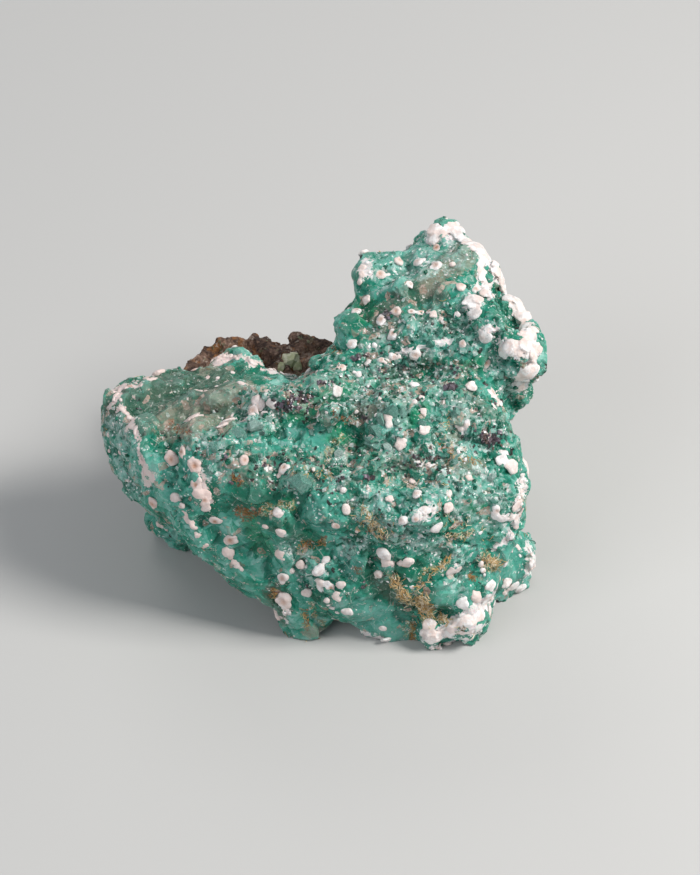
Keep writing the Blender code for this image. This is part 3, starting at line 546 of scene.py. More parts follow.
class Paint:
    """One procedural material. Its places and sizes are in mm on the object."""

    def __init__(self, name):
        self.material = bpy.data.materials.new(name)
        self.material.use_nodes = True
        self.tree = self.material.node_tree
        self.shader = self.tree.nodes["Principled BSDF"]
        coordinates = self.tree.nodes.new("ShaderNodeTexCoord")
        where = Wire(self, coordinates.outputs["Object"])
        self.place = self.vector("MULTIPLY", where, (1 / MM, 1 / MM, 1 / MM))
        wave = self.node("ShaderNodeTexNoise", Vector=self.place, Scale=0.9, Detail=2.0)
        wave = self.vector("SUBTRACT", Wire(self, wave.outputs["Color"]), (0.5, 0.5, 0.5))
        self.waved = self.vector("ADD", self.place, self.vector("MULTIPLY", wave, (0.7, 0.7, 0.7)))
        self.ragged = (self.noise(0.9) - 0.5) * 2.2 + (self.noise(0.22) - 0.5) * 1.6

    def node(self, kind, **inputs):
        made = self.tree.nodes.new(kind)
        for name, value in inputs.items():
            self.feed(made.inputs[name], value)
        return made

    def feed(self, socket, value):
        if isinstance(value, Wire):
            self.tree.links.new(value.socket, socket)
        elif socket.type == "RGBA":
            socket.default_value = (*value, 1)
        else:
            socket.default_value = value

    def set(self, **inputs):
        """Feeds the shader. An underscore stands for a space."""
        for name, value in inputs.items():
            self.feed(self.shader.inputs[name.replace("_", " ")], value)

    def maths(self, operation, first, second):
        made = self.tree.nodes.new("ShaderNodeMath")
        made.operation = operation
        self.feed(made.inputs[0], first)
        self.feed(made.inputs[1], second)
        return Wire(self, made.outputs[0])

    def vector(self, operation, first, second, output="Vector"):
        made = self.tree.nodes.new("ShaderNodeVectorMath")
        made.operation = operation
        self.feed(made.inputs[0], first)
        self.feed(made.inputs[1], second)
        return Wire(self, made.outputs[output])

    def noise(self, size, detail=3.0):
        """Noise with lumps of this size."""
        made = self.node(
            "ShaderNodeTexNoise", Vector=self.place, Scale=1 / size, Detail=detail, Roughness=0.6,
        )
        return Wire(self, made.outputs["Fac"])

    def grains(self, size):
        """Grains of this size: for each one three random values, and how high its tilted face is."""
        made = self.node("ShaderNodeTexVoronoi", Vector=self.waved, Scale=1 / size)
        colour = Wire(self, made.outputs["Color"])
        parts = self.node("ShaderNodeSeparateColor", Color=colour).outputs
        inside = self.vector("SUBTRACT", self.waved, Wire(self, made.outputs["Position"]))
        slope = self.vector("SUBTRACT", colour, (0.5, 0.5, 0.5))
        return SimpleNamespace(
            first=Wire(self, parts[0]), second=Wire(self, parts[1]), third=Wire(self, parts[2]),
            face=self.vector("DOT_PRODUCT", inside, slope, output="Value"),
        )

    def borders(self, size, width):
        """Thin lines between cells of this size."""
        made = self.node("ShaderNodeTexVoronoi", Vector=self.waved, Scale=1 / size)
        made.feature = "DISTANCE_TO_EDGE"
        return Wire(self, made.outputs["Distance"]).between(width / size, 0)

    def dots(self, size, radius, share):
        """Round dots in a share of the cells of this size."""
        made = self.node("ShaderNodeTexVoronoi", Vector=self.place, Scale=1 / size)
        parts = self.node("ShaderNodeSeparateColor", Color=Wire(self, made.outputs["Color"])).outputs
        inside = Wire(self, made.outputs["Distance"]).between(radius / size * 1.15, radius / size * 0.85)
        return inside * Wire(self, parts[0]).between(1 - share, 1.02 - share)

    def mix(self, share, first, second):
        """A share of the second colour in the first. Its sockets for colours go by number."""
        made = self.tree.nodes.new("ShaderNodeMix")
        made.data_type = "RGBA"
        self.feed(made.inputs[0], share)
        self.feed(made.inputs[6], first)
        self.feed(made.inputs[7], second)
        return Wire(self, made.outputs[2])

    def kept(self, name):
        """The values kept under this name."""
        made = self.tree.nodes.new("ShaderNodeAttribute")
        made.attribute_name = name
        return Wire(self, made.outputs["Fac"])

    def leftward(self):
        """1 on the left, where the crust is pinkish, and 0 in the middle and on the right."""
        across = Wire(self, self.node("ShaderNodeSeparateXYZ", Vector=self.place).outputs["X"])
        return (across + self.noise(3.0) * 8).between(6, -12)

    def area(self, name, share, edge=0.12):
        """A kept area with a ragged border."""
        return (self.kept(name) + self.ragged).between(0.5 - edge, 0.5 + edge) * share

    def ramp(self, value, stops):
        made = self.node("ShaderNodeValToRGB", Fac=value)
        elements = made.color_ramp.elements
        while len(elements) < len(stops):
            elements.new(0.5)
        for element, (place, colour) in zip(elements, stops):
            element.position = place
            element.color = (*colour, 1)
        return Wire(self, made.outputs["Color"])

    def bump(self, height, scale):
        """Relief from a height, this many mm for a height of one."""
        made = self.node("ShaderNodeBump", Height=height, Distance=scale * MM)
        return Wire(self, made.outputs["Normal"])


points = points_of(mass)
normals = normals_of(mass)
in_sight = facing_eye(points, normals)
uneven = sighted(points) + wander(points, 0.9, 111)
cover = {}
for area, strokes in AREAS.items():
    size, share, seed = UNSEEN[area]
    lumps = np.clip((cloud(points, size, seed) - 0.85 + share * 0.8) / 0.2, 0, 1)
    cover[area] = painted(uneven, strokes) * in_sight + lumps * (1 - in_sight)
    keep_values(mass, area, cover[area])
glassy = glassy_at(points, sighted(points), in_sight)
keep_values(mass, "glassy", glassy)
for name, rounds in (("small_hollow", 8), ("large_hollow", 60)):
    keep_values(mass, name, hollows_of(mass, rounds))

green = Paint("sea_green_melanterite")
large = green.grains(2.6)
middling = green.grains(1.0)
small = green.grains(0.5)
tiny = green.grains(0.24)
fine = green.noise(0.30, 4)
clear = green.kept("glassy")
tone = (
    large.first * 0.32 + middling.first * 0.20 + small.first * 0.08
    + green.noise(4.5, 2) * 0.6 + fine * 0.20
)
colour = green.ramp(tone, [
    (0.42, (0.002, 0.086, 0.048)), (0.56, (0.006, 0.160, 0.100)), (0.70, (0.020, 0.236, 0.162)),
    (0.84, (0.072, 0.325, 0.250)), (0.98, (0.210, 0.450, 0.390)),
])
colour = green.mix(green.area("deep", 0.80, 0.3), colour, (0.002, 0.132, 0.074))
colour = green.mix(green.area("vivid", 0.60, 0.3), colour, (0.010, 0.205, 0.085))
colour = green.mix(green.area("aqua", 0.60, 0.3), colour, (0.085, 0.330, 0.270))
olive = green.mix(fine, (0.026, 0.070, 0.042), (0.085, 0.128, 0.090))
colour = green.mix(green.area("olive", 0.85, 0.3), colour, olive)
beige = green.mix(fine, (0.12, 0.16, 0.11), (0.36, 0.33, 0.26))
colour = green.mix(green.area("beige", 0.80, 0.2), colour, beige)
fissures = green.borders(3.1, 0.06) * green.noise(1.7).between(0.50, 0.56)
colour = green.mix(fissures * 0.6, colour, (0.50, 0.58, 0.52))
frosty = green.area("frost", 1.0, 0.3)
gritty = green.area("grit", 1.0, 0.3)
veil = green.noise(0.9, 4).between(0.36, 0.62)
crushed = green.mix(middling.second, (0.13, 0.20, 0.15), (0.34, 0.30, 0.26))
colour = green.mix(gritty * veil * 0.60, colour, crushed)
frosting = green.mix(small.first, (0.13, 0.34, 0.29), (0.46, 0.60, 0.56))
colour = green.mix(frosty * veil * 0.75, colour, frosting)
hollow = green.kept("small_hollow") * 0.5 + green.kept("large_hollow") * 0.5
ridge = hollow.between(0.38, 0.08)
# Painted shade: the hollows and creases of the skin are darkened where shade would fall in them
colour = green.mix(hollow.between(0.56, 0.95) * 0.55, colour, (0.003, 0.080, 0.048))
# The ridges are made paler: partly frosted wear on the edges, partly a painted highlight along them
colour = green.mix(ridge * 0.22, colour, (0.240, 0.450, 0.380))
pale_grains = (small.second + frosty * 0.05 + gritty * 0.02 - clear * 0.03).between(0.96, 0.98)
pale_dust = (tiny.first + frosty * 0.03 + gritty * 0.02 - clear * 0.01).between(0.980, 0.990)
dark_grains = (small.third + gritty * 0.02 - clear * 0.02).between(0.98, 0.99)
beige_grains = (middling.third + gritty * 0.12).between(0.95, 0.97) * fine.between(0.34, 0.48)
tan_tints = green.mix(small.first, (0.30, 0.20, 0.15), (0.56, 0.44, 0.38))
colour = green.mix(beige_grains * 0.80, colour, tan_tints)
pale_tints = green.mix(tiny.second, (0.30, 0.44, 0.40), (0.74, 0.75, 0.73))
colour = green.mix(pale_grains * 0.75, colour, pale_tints)
colour = green.mix(pale_dust * 0.85, colour, (0.76, 0.78, 0.76))
colour = green.mix(dark_grains * 0.9, colour, (0.030, 0.020, 0.022))
broken = fine.between(0.40, 0.58)
straws = green.ramp(tiny.third, [
    (0.1, (0.12, 0.070, 0.020)), (0.4, (0.36, 0.23, 0.08)), (0.7, (0.60, 0.46, 0.24)),
    (0.95, (0.84, 0.78, 0.62)),
])
colour = green.mix(green.area("ochre", 0.70) * broken, colour, straws)
rusts = green.mix(tiny.third, (0.05, 0.02, 0.01), (0.36, 0.13, 0.04))
colour = green.mix(green.area("rust", 0.90) * broken, colour, rusts)
chalky = green.area("film", 1.0)
film = green.mix(fine, (0.62, 0.58, 0.56), (0.82, 0.80, 0.79))
film = green.mix(green.leftward() * 0.6, film, PINKISH)
colour = green.mix(chalky * 0.94, colour, film)
colour = green.mix(green.dots(0.8, 0.09, 0.06), colour, (0.84, 0.83, 0.81))
relief = large.face * 0.25 + middling.face * 0.34 + small.face * 0.36 + tiny.face * 0.16
green.set(
    Base_Color=colour,
    Roughness=(
        middling.second * 0.26 + small.first * 0.12 + chalky * 0.5 + frosty * 0.10
        + ridge * 0.15 + 0.10
    ),
    Normal=green.bump(relief, 0.7),
    Subsurface_Weight=0.32,
    Subsurface_Radius=(0.3, 1.0, 0.75),
    Subsurface_Scale=1.4 * MM,
    Specular_IOR_Level=0.32,
    IOR=1.48,
)
mass.data.materials.clear()
mass.data.materials.append(green.material)
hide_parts("melanterite")
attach(mass, "root")

# The white crust is efflorescence: where the mass dries it loses water and grows chalky domes,
# many with a dimple, that run together in chains and drips on the skin. Each dome is a copy of
# one flat dome with smaller copies at its rim, and all of them are fused.
CRUST_VOXEL = 0.14
CRUST_TRIANGLES = 190000
UNSEEN_DOMES = 230
# How often a copy of the mass is smoothed, to find which way domes stand on it
EVENINGS = 40
# Chains, drips and bands of crust: radius and route as seen
CHAINS = [
    (1.15, [(-21.4, -4.4), (-21.1, -6.2)]), (0.8, [(-20.8, -6.8), (-19.6, -9.8)]),
    (0.5, [(-16.2, -16.6), (-15, -18)]), (0.5, [(-21.9, -11.4), (-21, -13.4)]),
    (0.5, [(-23.2, -9.6), (-22.2, -11.2)]), (0.55, [(4.2, 10.6), (6.8, 11.2)]),
    (0.8, [(-4.4, -20.2), (-1.4, -20.4)]), (0.6, [(-3.2, -22.5), (-2, -23.8)]),
    (0.75, [(19.8, -9.4), (20.2, -11.1), (22.2, -10.6)]), (0.5, [(14.8, 1.8), (15.6, 0.8), (16.2, 2.2)]),
    (0.65, [(8.6, -11.2), (10.4, -10.0)]), (0.65, [(1.6, 21.6), (1.7, 23.2)]),
    (0.55, [(8.6, 17.4), (10, 16.8)]), (0.6, [(11, 17.2), (12.8, 16.4)]),
    (0.4, [(17.8, -17.2), (18.6, -19.0)]), (0.45, [(8.4, -3.4), (11.6, -3.8)]),
    (0.45, [(23.4, -4.6), (23.8, -6.3), (23.3, -8), (23.4, -10), (22.8, -12.5)]),
    (0.3, [(22.4, -13.4), (21, -14.5)]), (0.45, [(24.5, -15.3), (25, -16.5), (24.7, -18.4)]),
    (0.45, [(-19.3, 10.5), (-17, 11.4), (-15.6, 10.9)]),
    (0.4, [(-14, 10.5), (-12, 9.9), (-9.6, 9.4), (-7.8, 8.5)]),
    (0.35, [(-32.6, 5.2), (-31.2, 6.8), (-29.4, 7.5)]), (0.35, [(-31.2, 4.0), (-30.4, 2.6)]),
    (0.35, [(-29.6, 1.4), (-29.3, -0.6)]), (0.35, [(-29.0, -2.2), (-28.4, -4)]),
    (0.5, [(11.0, -29.0), (13.4, -28.4)]), (0.35, [(-26.6, -11.6), (-25.2, -12.6)]),
    (0.35, [(-9.0, -24.6), (-9.2, -23.4)]),
]
# All that is laid at random from here on draws from this, in the order of the script
chance = np.random.default_rng(21)


def skin_of(piece):
    """The surface of a piece, to look for places on it."""
    corners = [point.co[:] for point in piece.data.vertices]
    return BVHTree.FromPolygons(corners, [face.vertices[:] for face in piece.data.polygons])


def seen_on(skin, across, up):
    """The place on a skin that is seen there and its normal or, off the edge, the nearest inwards."""
    while True:
        target = SIGHT_CENTRE + RIGHT * across + UP * up
        place, normal = skin.ray_cast(Vector(EYE * MM), Vector(target - EYE).normalized())[:2]
        if place is not None:
            return np.array(place) / MM, np.array(normal)
        across *= 0.985
        up *= 0.985


def along(route, step):
    """Places about one step apart along a route."""
    route = np.array(route, float)
    if len(route) == 1:
        return route
    lengths = np.linalg.norm(np.diff(route, axis=0), axis=1)
    travelled = np.concatenate([[0], np.cumsum(lengths)])
    marks = np.linspace(0, travelled[-1], max(2, int(travelled[-1] / step) + 1))
    return np.column_stack([np.interp(marks, travelled, route[:, axis]) for axis in (0, 1)])


def skin_frame(normal, turn):
    """Two directions in the skin and its normal, as the rows of a matrix."""
    side = np.cross(normal, (0.03, 0.02, 1.0))
    side /= np.linalg.norm(side)
    other = np.cross(normal, side)
    return np.array([
        side * math.cos(turn) + other * math.sin(turn),
        other * math.cos(turn) - side * math.sin(turn),
        normal,
    ])


def stamp(name, copies):
    """One piece from many copies (shape, place, matrix), and which copy each face belongs to."""
    corners = []
    faces = []
    owners = []
    first = 0
    for number, ((shape_points, shape_faces), place, matrix) in enumerate(copies):
        corners.append(shape_points @ matrix + place)
        faces += [[first + corner for corner in face] for face in shape_faces]
        owners += [number] * len(shape_faces)
        first += len(shape_points)
    mesh = bpy.data.meshes.new(name)
    mesh.from_pydata((np.concatenate(corners) * MM).tolist(), [], faces)
    piece = bpy.data.objects.new(name, mesh)
    bpy.context.scene.collection.objects.link(piece)
    put_points(piece, points_of(piece))
    return piece, np.array(owners)


def take_shape():
    """The points and faces of the shape just modelled, which is removed."""
    piece = bpy.context.object
    shape = (
        np.array([point.co[:] for point in piece.data.vertices]),
        [list(face.vertices) for face in piece.data.polygons],
    )
    bpy.data.objects.remove(piece)
    return shape


def random_places(piece, count, weights):
    """Random places on a piece, more of them where the weights are high, with the normals there."""
    mesh = piece.data
    mesh.calc_loop_triangles()
    corners = np.array([triangle.vertices[:] for triangle in mesh.loop_triangles])
    odds = np.array([triangle.area for triangle in mesh.loop_triangles]) * weights[corners].mean(axis=1)
    chosen = corners[chance.choice(len(corners), count, p=odds / odds.sum())]
    shares = chance.dirichlet((1, 1, 1), count)[:, :, None]
    places = (points_of(piece)[chosen] * shares).sum(axis=1)
    facing = (normals_of(piece)[chosen] * shares).sum(axis=1)
    return places, facing / np.linalg.norm(facing, axis=1)[:, None]


def grow_crust(name, domes, flatness):
    """One fused crust from domes (place, radius, hearted)."""
    copies = []
    for place, radius, _ in domes:
        normal = np.array(even_skin.find_nearest(Vector(place * MM))[1])
        for lobe in range(1 + int(chance.integers(2, 5))):
            matrix = skin_frame(normal, chance.uniform(0, math.tau))
            stretch = chance.uniform(0.85, 1.2)
            shift = matrix[0] * radius * chance.uniform(0.35, 0.75) if lobe else 0
            size = radius * (chance.uniform(0.35, 0.6) if lobe else 0.92)
            sizes = np.array([size * stretch, size / stretch, size * flatness * chance.uniform(0.8, 1.2)])
            copies.append((dome, place + shift, matrix * sizes[:, None]))
    crust = stamp(name, copies)[0]
    reskin(crust, CRUST_VOXEL, 2)
    tree = KDTree(len(domes))
    for number, (place, _, _) in enumerate(domes):
        tree.insert(place, number)
    tree.balance()
    radii = np.array([radius for _, radius, _ in domes])
    hearts = np.array([hearted for _, _, hearted in domes], float)

    def nearest_dome(points):
        """The dome that each point belongs to, and how far off its middle is, in radii."""
        near = [tree.find(point)[1:] for point in points]
        owner = np.array([found[0] for found in near])
        return owner, np.array([found[1] for found in near]) / radii[owner]

    points = points_of(crust)
    owner, reach = nearest_dome(points)
    dimple = np.clip(1 - reach / 0.5, 0, 1) * hearts[owner] * radii[owner] * 0.35
    ripple = ((cloud(points, 0.8, 61) - 0.5) * 0.6 + (cloud(points, 0.35, 62) - 0.5) * 0.24) * flatness
    put_points(crust, points + normals_of(crust) * (ripple - dimple)[:, None])
    thin_to(crust, CRUST_TRIANGLES)
    owner, reach = nearest_dome(points_of(crust))
    keep_values(crust, "warmth", chance.random(len(domes))[owner])
    keep_values(crust, "heart", np.clip(1.3 - reach / 0.55, 0, 1) * hearts[owner])
    only(crust)
    bpy.ops.object.shade_smooth()
    crust.data.materials.append(chalk.material)
    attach(crust, "root")


bpy.ops.object.select_all(action="DESELECT")
bpy.ops.mesh.primitive_uv_sphere_add(segments=12, ring_count=8, radius=1)
bpy.ops.object.mode_set(mode="EDIT")
bpy.ops.mesh.select_all(action="SELECT")
bpy.ops.mesh.bisect(plane_co=(0, 0, -0.8), plane_no=(0, 0, -1), use_fill=True, clear_outer=True)
bpy.ops.object.mode_set(mode="OBJECT")
dome = take_shape()

chalk = Paint("chalky_efflorescence")
powder = chalk.noise(0.16)
colour = chalk.mix(chalk.noise(0.9, 4).between(0.32, 0.60), (0.58, 0.53, 0.51), (0.82, 0.80, 0.79))
colour = chalk.mix(chalk.kept("warmth").between(0.25, 0.90) * 0.65, colour, (0.74, 0.58, 0.52))
colour = chalk.mix(chalk.leftward() * 0.55, colour, PINKISH)
colour = chalk.mix(chalk.kept("heart") * (powder + 0.15) * 1.5, colour, (0.42, 0.22, 0.14))
colour = chalk.mix(powder.between(0.62, 0.74) * 0.25, colour, (0.46, 0.50, 0.44))
chalk.set(
    Base_Color=colour,
    Roughness=0.8,
    Normal=chalk.bump(powder + chalk.grains(0.4).face, 0.12),
    Subsurface_Weight=0.2,
    Subsurface_Radius=(1.0, 0.8, 0.7),
    Subsurface_Scale=0.4 * MM,
)

skin = skin_of(mass)
even_mass = copy_of(mass, "even_mass")
smooth(even_mass, EVENINGS)
even_skin = skin_of(even_mass)
bpy.data.objects.remove(even_mass)
domes = [(seen_on(skin, across, up)[0], radius, False) for across, up, radius in DOMES]
domes += [(seen_on(skin, across, up)[0], radius, True) for across, up, radius in HEARTED_DOMES]
for radius, route in CHAINS:
    for spot in along(route, radius * 0.8):
        across, up = spot + chance.normal(0, radius * 0.3, 2)
        size = radius * chance.uniform(0.55, 1.15)
        domes.append((seen_on(skin, across, up)[0], size, chance.random() < 0.15))
hidden = (1 - in_sight) * np.clip((cloud(points, 8.0, 52) - 0.35) * 4, 0.08, 1)
hidden *= np.clip((points[:, 2] - 1.5) / 3, 0, 1)
for place in random_places(mass, UNSEEN_DOMES, hidden)[0]:
    domes.append((place, 0.35 + 0.9 * chance.random() ** 1.6, chance.random() < 0.3))
grow_crust("efflorescence_domes", domes, flatness=0.42)

# The sheets are the same crust where it has run together: flatter domes close to one another, in
# bands along the rim of the tall arm and of the lower right foot and, out of sight, at random.
UNSEEN_PLATES = 260
# Half width, route as seen, and how many domes lie at random along it
SHEETS = [
    (0.7, [(17.0, 26.6), (19.4, 24.0), (21.6, 20.6)], 60),
    (0.8, [(21.7, 19.8), (23.6, 16.2), (25.2, 12)], 76),
    (0.4, [(17.6, 24.0), (18.2, 21.8), (19.2, 19.2)], 12), (0.9, [(17.2, 17.9)], 9),
    (1.0, [(18.6, 14.5)], 10), (0.9, [(21.4, 12.4), (24.4, 12.0)], 30),
    (0.9, [(25.2, 10.2), (23.6, 7.4)], 24), (0.9, [(11.6, 28.4), (13.2, 29.4), (14.8, 28.4)], 24),
    (0.7, [(15.6, 27.4), (16.6, 26.6)], 7), (0.7, [(-12.4, 4.6)], 7), (0.8, [(19.8, 4.4)], 5),
    (0.7, [(10.6, -25.8), (10.8, -27.6), (13.2, -26.8)], 20),
    (0.8, [(13.2, -26.8), (16.6, -25.2), (19.2, -22.8)], 46), (0.6, [(21.0, -21.6), (22.8, -20.4)], 6),
]
domes = []
for half_width, route, count in SHEETS:
    line = along(route, 0.3)
    for spot in line[chance.integers(0, len(line), count)]:
        across, up = spot + chance.normal(0, half_width * 0.5, 2)
        domes.append((seen_on(skin, across, up)[0], 0.35 + 0.85 * chance.random() ** 1.5, False))
hidden = (1 - in_sight) * np.clip((cover["film"] - 0.5) * 2, 0, 1)
for place in random_places(mass, UNSEEN_PLATES, hidden)[0]:
    domes.append((place, chance.uniform(0.45, 1.25), False))
grow_crust("efflorescence_sheets", domes, flatness=0.22)

# The specks are single buttons of the same crust, too small for a dimple: flattened balls that are
# half in the skin, most of them where the mass is crushed, frosted or filmed.
SPECKS = 320
bpy.ops.object.select_all(action="DESELECT")
bpy.ops.mesh.primitive_uv_sphere_add(segments=8, ring_count=5, radius=1)
bpy.ops.object.mode_set(mode="EDIT")
bpy.ops.transform.resize(value=(1, 1, 0.6))
bpy.ops.object.mode_set(mode="OBJECT")
speck = take_shape()
copies = []
where = 0.4 + cover["frost"] + cover["grit"] + 2 * cover["film"] - 0.25 * glassy
for place, normal in zip(*random_places(mass, SPECKS, where)):
    size = 0.10 + 0.24 * chance.random() ** 2
    sizes = np.array([chance.uniform(0.8, 1.3), chance.uniform(0.8, 1.3), 1]) * size
    copies.append((speck, place, skin_frame(normal, chance.uniform(0, math.tau)) * sizes[:, None]))
specks, owners = stamp("efflorescence_specks", copies)
keep_values(specks, "warmth", chance.random(len(copies))[owners] * 0.7, "FACE")
only(specks)
bpy.ops.object.shade_smooth()
specks.data.materials.append(chalk.material)
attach(specks, "root")

# Crushed belts of the mass are full of small loose-grown crystals: angular chips, clear to frosted.
# Each is a copy of one of twelve blocks cut by planes at random, and is partly sunk in the skin.
# GRAINS are the small ones, and LUMPS are middle-sized ones among them.
GRAINS = 2600
LUMPS = 220
# Larger clear crystals as seen: across, up and radius
CRYSTALS = [
    (3.2, -1.0, 1.0), (3.7, .8, 1.2), (4.2, 2.6, 1.1), (5.8, 3.4, 1.0), (7.2, 3.6, .9), (6.4, 2.2, .8),
    (2.6, -.2, .7), (5.2, -1.4, .8), (-7.0, -5.8, 1.7), (-12.8, 1.6, 1.1), (-15, .6, 1.2),
    (-11.2, 2.4, .7), (-1.5, -2, .9), (9.8, 2, .7), (14.6, 3.6, .8), (12.4, 2.4, .7), (16.2, 5.4, .7),
    (19.4, -5.6, .7), (16.4, -7.4, .6), (12.6, -5.4, .6), (-5.4, .8, .7), (-2.8, 1.4, .7),
    (7.8, -12.8, .6), (.4, -15.6, .8), (20.6, 8.6, .7), (8.6, 13.8, .6), (11.4, 13.6, .6),
    (-18.6, -1.6, .7), (18.2, -8.6, .6), (15, -16.2, .5),
]


def cut_block(seed, cuts):
    """A block with its corners cut off by planes at random."""
    chance = np.random.default_rng(seed)
    bpy.ops.object.select_all(action="DESELECT")
    bpy.ops.mesh.primitive_cube_add(size=1.6)
    bpy.ops.object.mode_set(mode="EDIT")
    bpy.ops.transform.resize(value=(1.0, chance.uniform(0.7, 1.0), chance.uniform(0.55, 0.8)))
    for _ in range(cuts):
        facing = chance.normal(0, 1, 3)
        facing /= np.linalg.norm(facing)
        bpy.ops.mesh.select_all(action="SELECT")
        bpy.ops.mesh.bisect(plane_co=facing * 0.6, plane_no=facing, use_fill=True, clear_outer=True)
    bpy.ops.object.mode_set(mode="OBJECT")
    return take_shape()


def one_of(shapes):
    """One of these shapes at random."""
    return shapes[chance.integers(len(shapes))]


def turned_at_random(size):
    """A turn in any direction and a size, as a matrix."""
    turn = np.linalg.qr(chance.normal(0, 1, (3, 3)))[0]
    return turn * np.sign(np.linalg.det(turn)) * size


blocks = [cut_block(seed, 4) for seed in range(6)]
crystals = [cut_block(seed, 9) for seed in range(10, 16)]
copies = []
where = 0.05 + cover["frost"] * 1.2 + cover["grit"] * 1.4 - cover["film"] * 0.5
where = np.clip(where - 0.5 * glassy, 0, None)
for place, normal in zip(*random_places(mass, GRAINS, where)):
    size = 0.13 + 0.36 * chance.random() ** 2
    sunk = place - normal * size * chance.uniform(0.1, 0.45)
    copies.append((one_of(blocks), sunk, turned_at_random(size)))
for place, normal in zip(*random_places(mass, LUMPS, where ** 2)):
    size = chance.uniform(0.45, 0.95)
    copies.append((one_of(crystals), place - normal * size * 0.45, turned_at_random(size)))
for across, up, radius in CRYSTALS:
    place, normal = seen_on(skin, across, up)
    copies.append((one_of(crystals), place - normal * radius * 0.3, turned_at_random(radius * 1.15)))
grains, owners = stamp("crystal_grains", copies)
tints = np.concatenate([
    chance.random(GRAINS) * 0.95,
    chance.uniform(0.1, 0.88, LUMPS),
    chance.uniform(0.68, 0.93, len(CRYSTALS)),
])
keep_values(grains, "tint", tints[owners], "FACE")

glass = Paint("clear_and_frosted_crystals")
bloom = glass.noise(0.35)
colour = glass.ramp(glass.kept("tint"), [
    (0.20, (0.008, 0.130, 0.078)), (0.60, (0.050, 0.250, 0.185)), (0.86, (0.200, 0.370, 0.320)),
    (0.96, (0.440, 0.530, 0.500)), (0.99, (0.480, 0.360, 0.300)),
])
colour = glass.mix(bloom.between(0.58, 0.66) * 0.30, colour, (0.56, 0.64, 0.61))
glass.set(
    Base_Color=colour,
    Roughness=bloom.between(0.40, 0.65) * 0.5 + 0.12,
    Normal=glass.bump(glass.grains(0.5).face, 0.3),
    Transmission_Weight=0.3,
    Subsurface_Weight=0.2,
    Subsurface_Radius=(0.5, 1.0, 0.9),
    Subsurface_Scale=0.6 * MM,
    Specular_IOR_Level=0.4,
    IOR=1.48,
)
grains.data.materials.append(glass.material)
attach(grains, "root")

# Dark grains: small chips of another mineral, purple-black with a dull metallic glint, caught in
# the mass as it grew. They lie in clusters and are scattered singly in the crushed belts.
STRAY_CHIPS = 190
UNSEEN_CHIPS = 90
# Clusters as seen: across, up, spread, how many and radius
CLUSTERS = [
    (-7.8, 4.8, 1.1, 42, .34), (-9.4, 4.2, .6, 16, .30), (-6.2, 5.4, .6, 14, .3), (-4, 7.7, .4, 7, .32),
    (1.3, 11.3, .35, 9, .44), (5.3, 17, .4, 9, .36), (13.8, 6.8, .4, 8, .55), (14.5, 9.5, .5, 6, .26),
    (19.4, -.3, .8, 34, .36), (18, .6, .5, 10, .3), (2.4, -5.4, .5, 8, .36), (-.9, -5.5, .3, 4, .3),
    (9.3, -2.7, .4, 6, .3), (11.6, -2.7, .4, 6, .3), (10.4, -3.4, .7, 9, .24), (-17.2, -2.8, .4, 6, .3),
    (-11.8, -3.8, .4, 5, .28), (1.8, -20.1, .4, 6, .3), (2.2, 2.8, .3, 4, .26), (-28.8, 4, .25, 3, .2),
    (-28.8, 5.2, .2, 2, .16), (20, 5, .5, 7, .3), (-2.4, 7.2, .4, 5, .26), (4.4, 8.6, .7, 8, .2),
    (8, 9.2, .7, 8, .2), (-15.6, -6, .4, 5, .24), (6.4, -4.4, .9, 8, .2), (-4, -3.4, 1.2, 9, .18),
]
copies = []
for across, up, spread, count, radius in CLUSTERS:
    for step in chance.normal(0, spread, (count, 2)):
        place, normal = seen_on(skin, across + step[0], up + step[1] * 0.6)
        size = radius * chance.uniform(0.5, 1.15)
        copies.append((one_of(blocks), place + normal * size * 0.1, turned_at_random(size)))
for place in random_places(mass, STRAY_CHIPS, cover["grit"] + 0.02)[0]:
    copies.append((one_of(blocks), place, turned_at_random(chance.uniform(0.09, 0.24))))
hidden = (1 - in_sight) * np.clip((cloud(points, 4.0, 77) - 0.72) * 8, 0, 1)
for place in random_places(mass, UNSEEN_CHIPS, hidden)[0]:
    copies.append((one_of(blocks), place, turned_at_random(chance.uniform(0.2, 0.5))))
dark, owners = stamp("dark_grains", copies)
keep_values(dark, "tint", chance.random(len(copies))[owners], "FACE")

dusky = Paint("dark_purple_grains")
colour = dusky.ramp(dusky.kept("tint"), [
    (0.2, (0.018, 0.012, 0.014)), (0.55, (0.050, 0.028, 0.042)), (0.75, (0.13, 0.10, 0.14)),
    (0.95, (0.10, 0.045, 0.025)),
])
colour = dusky.mix(dusky.noise(0.25).between(0.58, 0.66) * 0.6, colour, (0.34, 0.32, 0.34))
dusky.set(Base_Color=colour, Roughness=0.32, Normal=dusky.bump(dusky.grains(0.3).face, 0.3), IOR=1.9)
dark.data.materials.append(dusky.material)
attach(dark, "root")

# Fibres: ochre and straw-coloured needles of rust and of other sulphates, in tufts and mats on the
# skin and in its cracks. Each is a copy of one of three bent needles and lies nearly flat.
UNSEEN_FIBRES = 420
# A shorter fibre than this is as thick as one of this length, so that it can be seen
THINNEST_LENGTH = 0.9
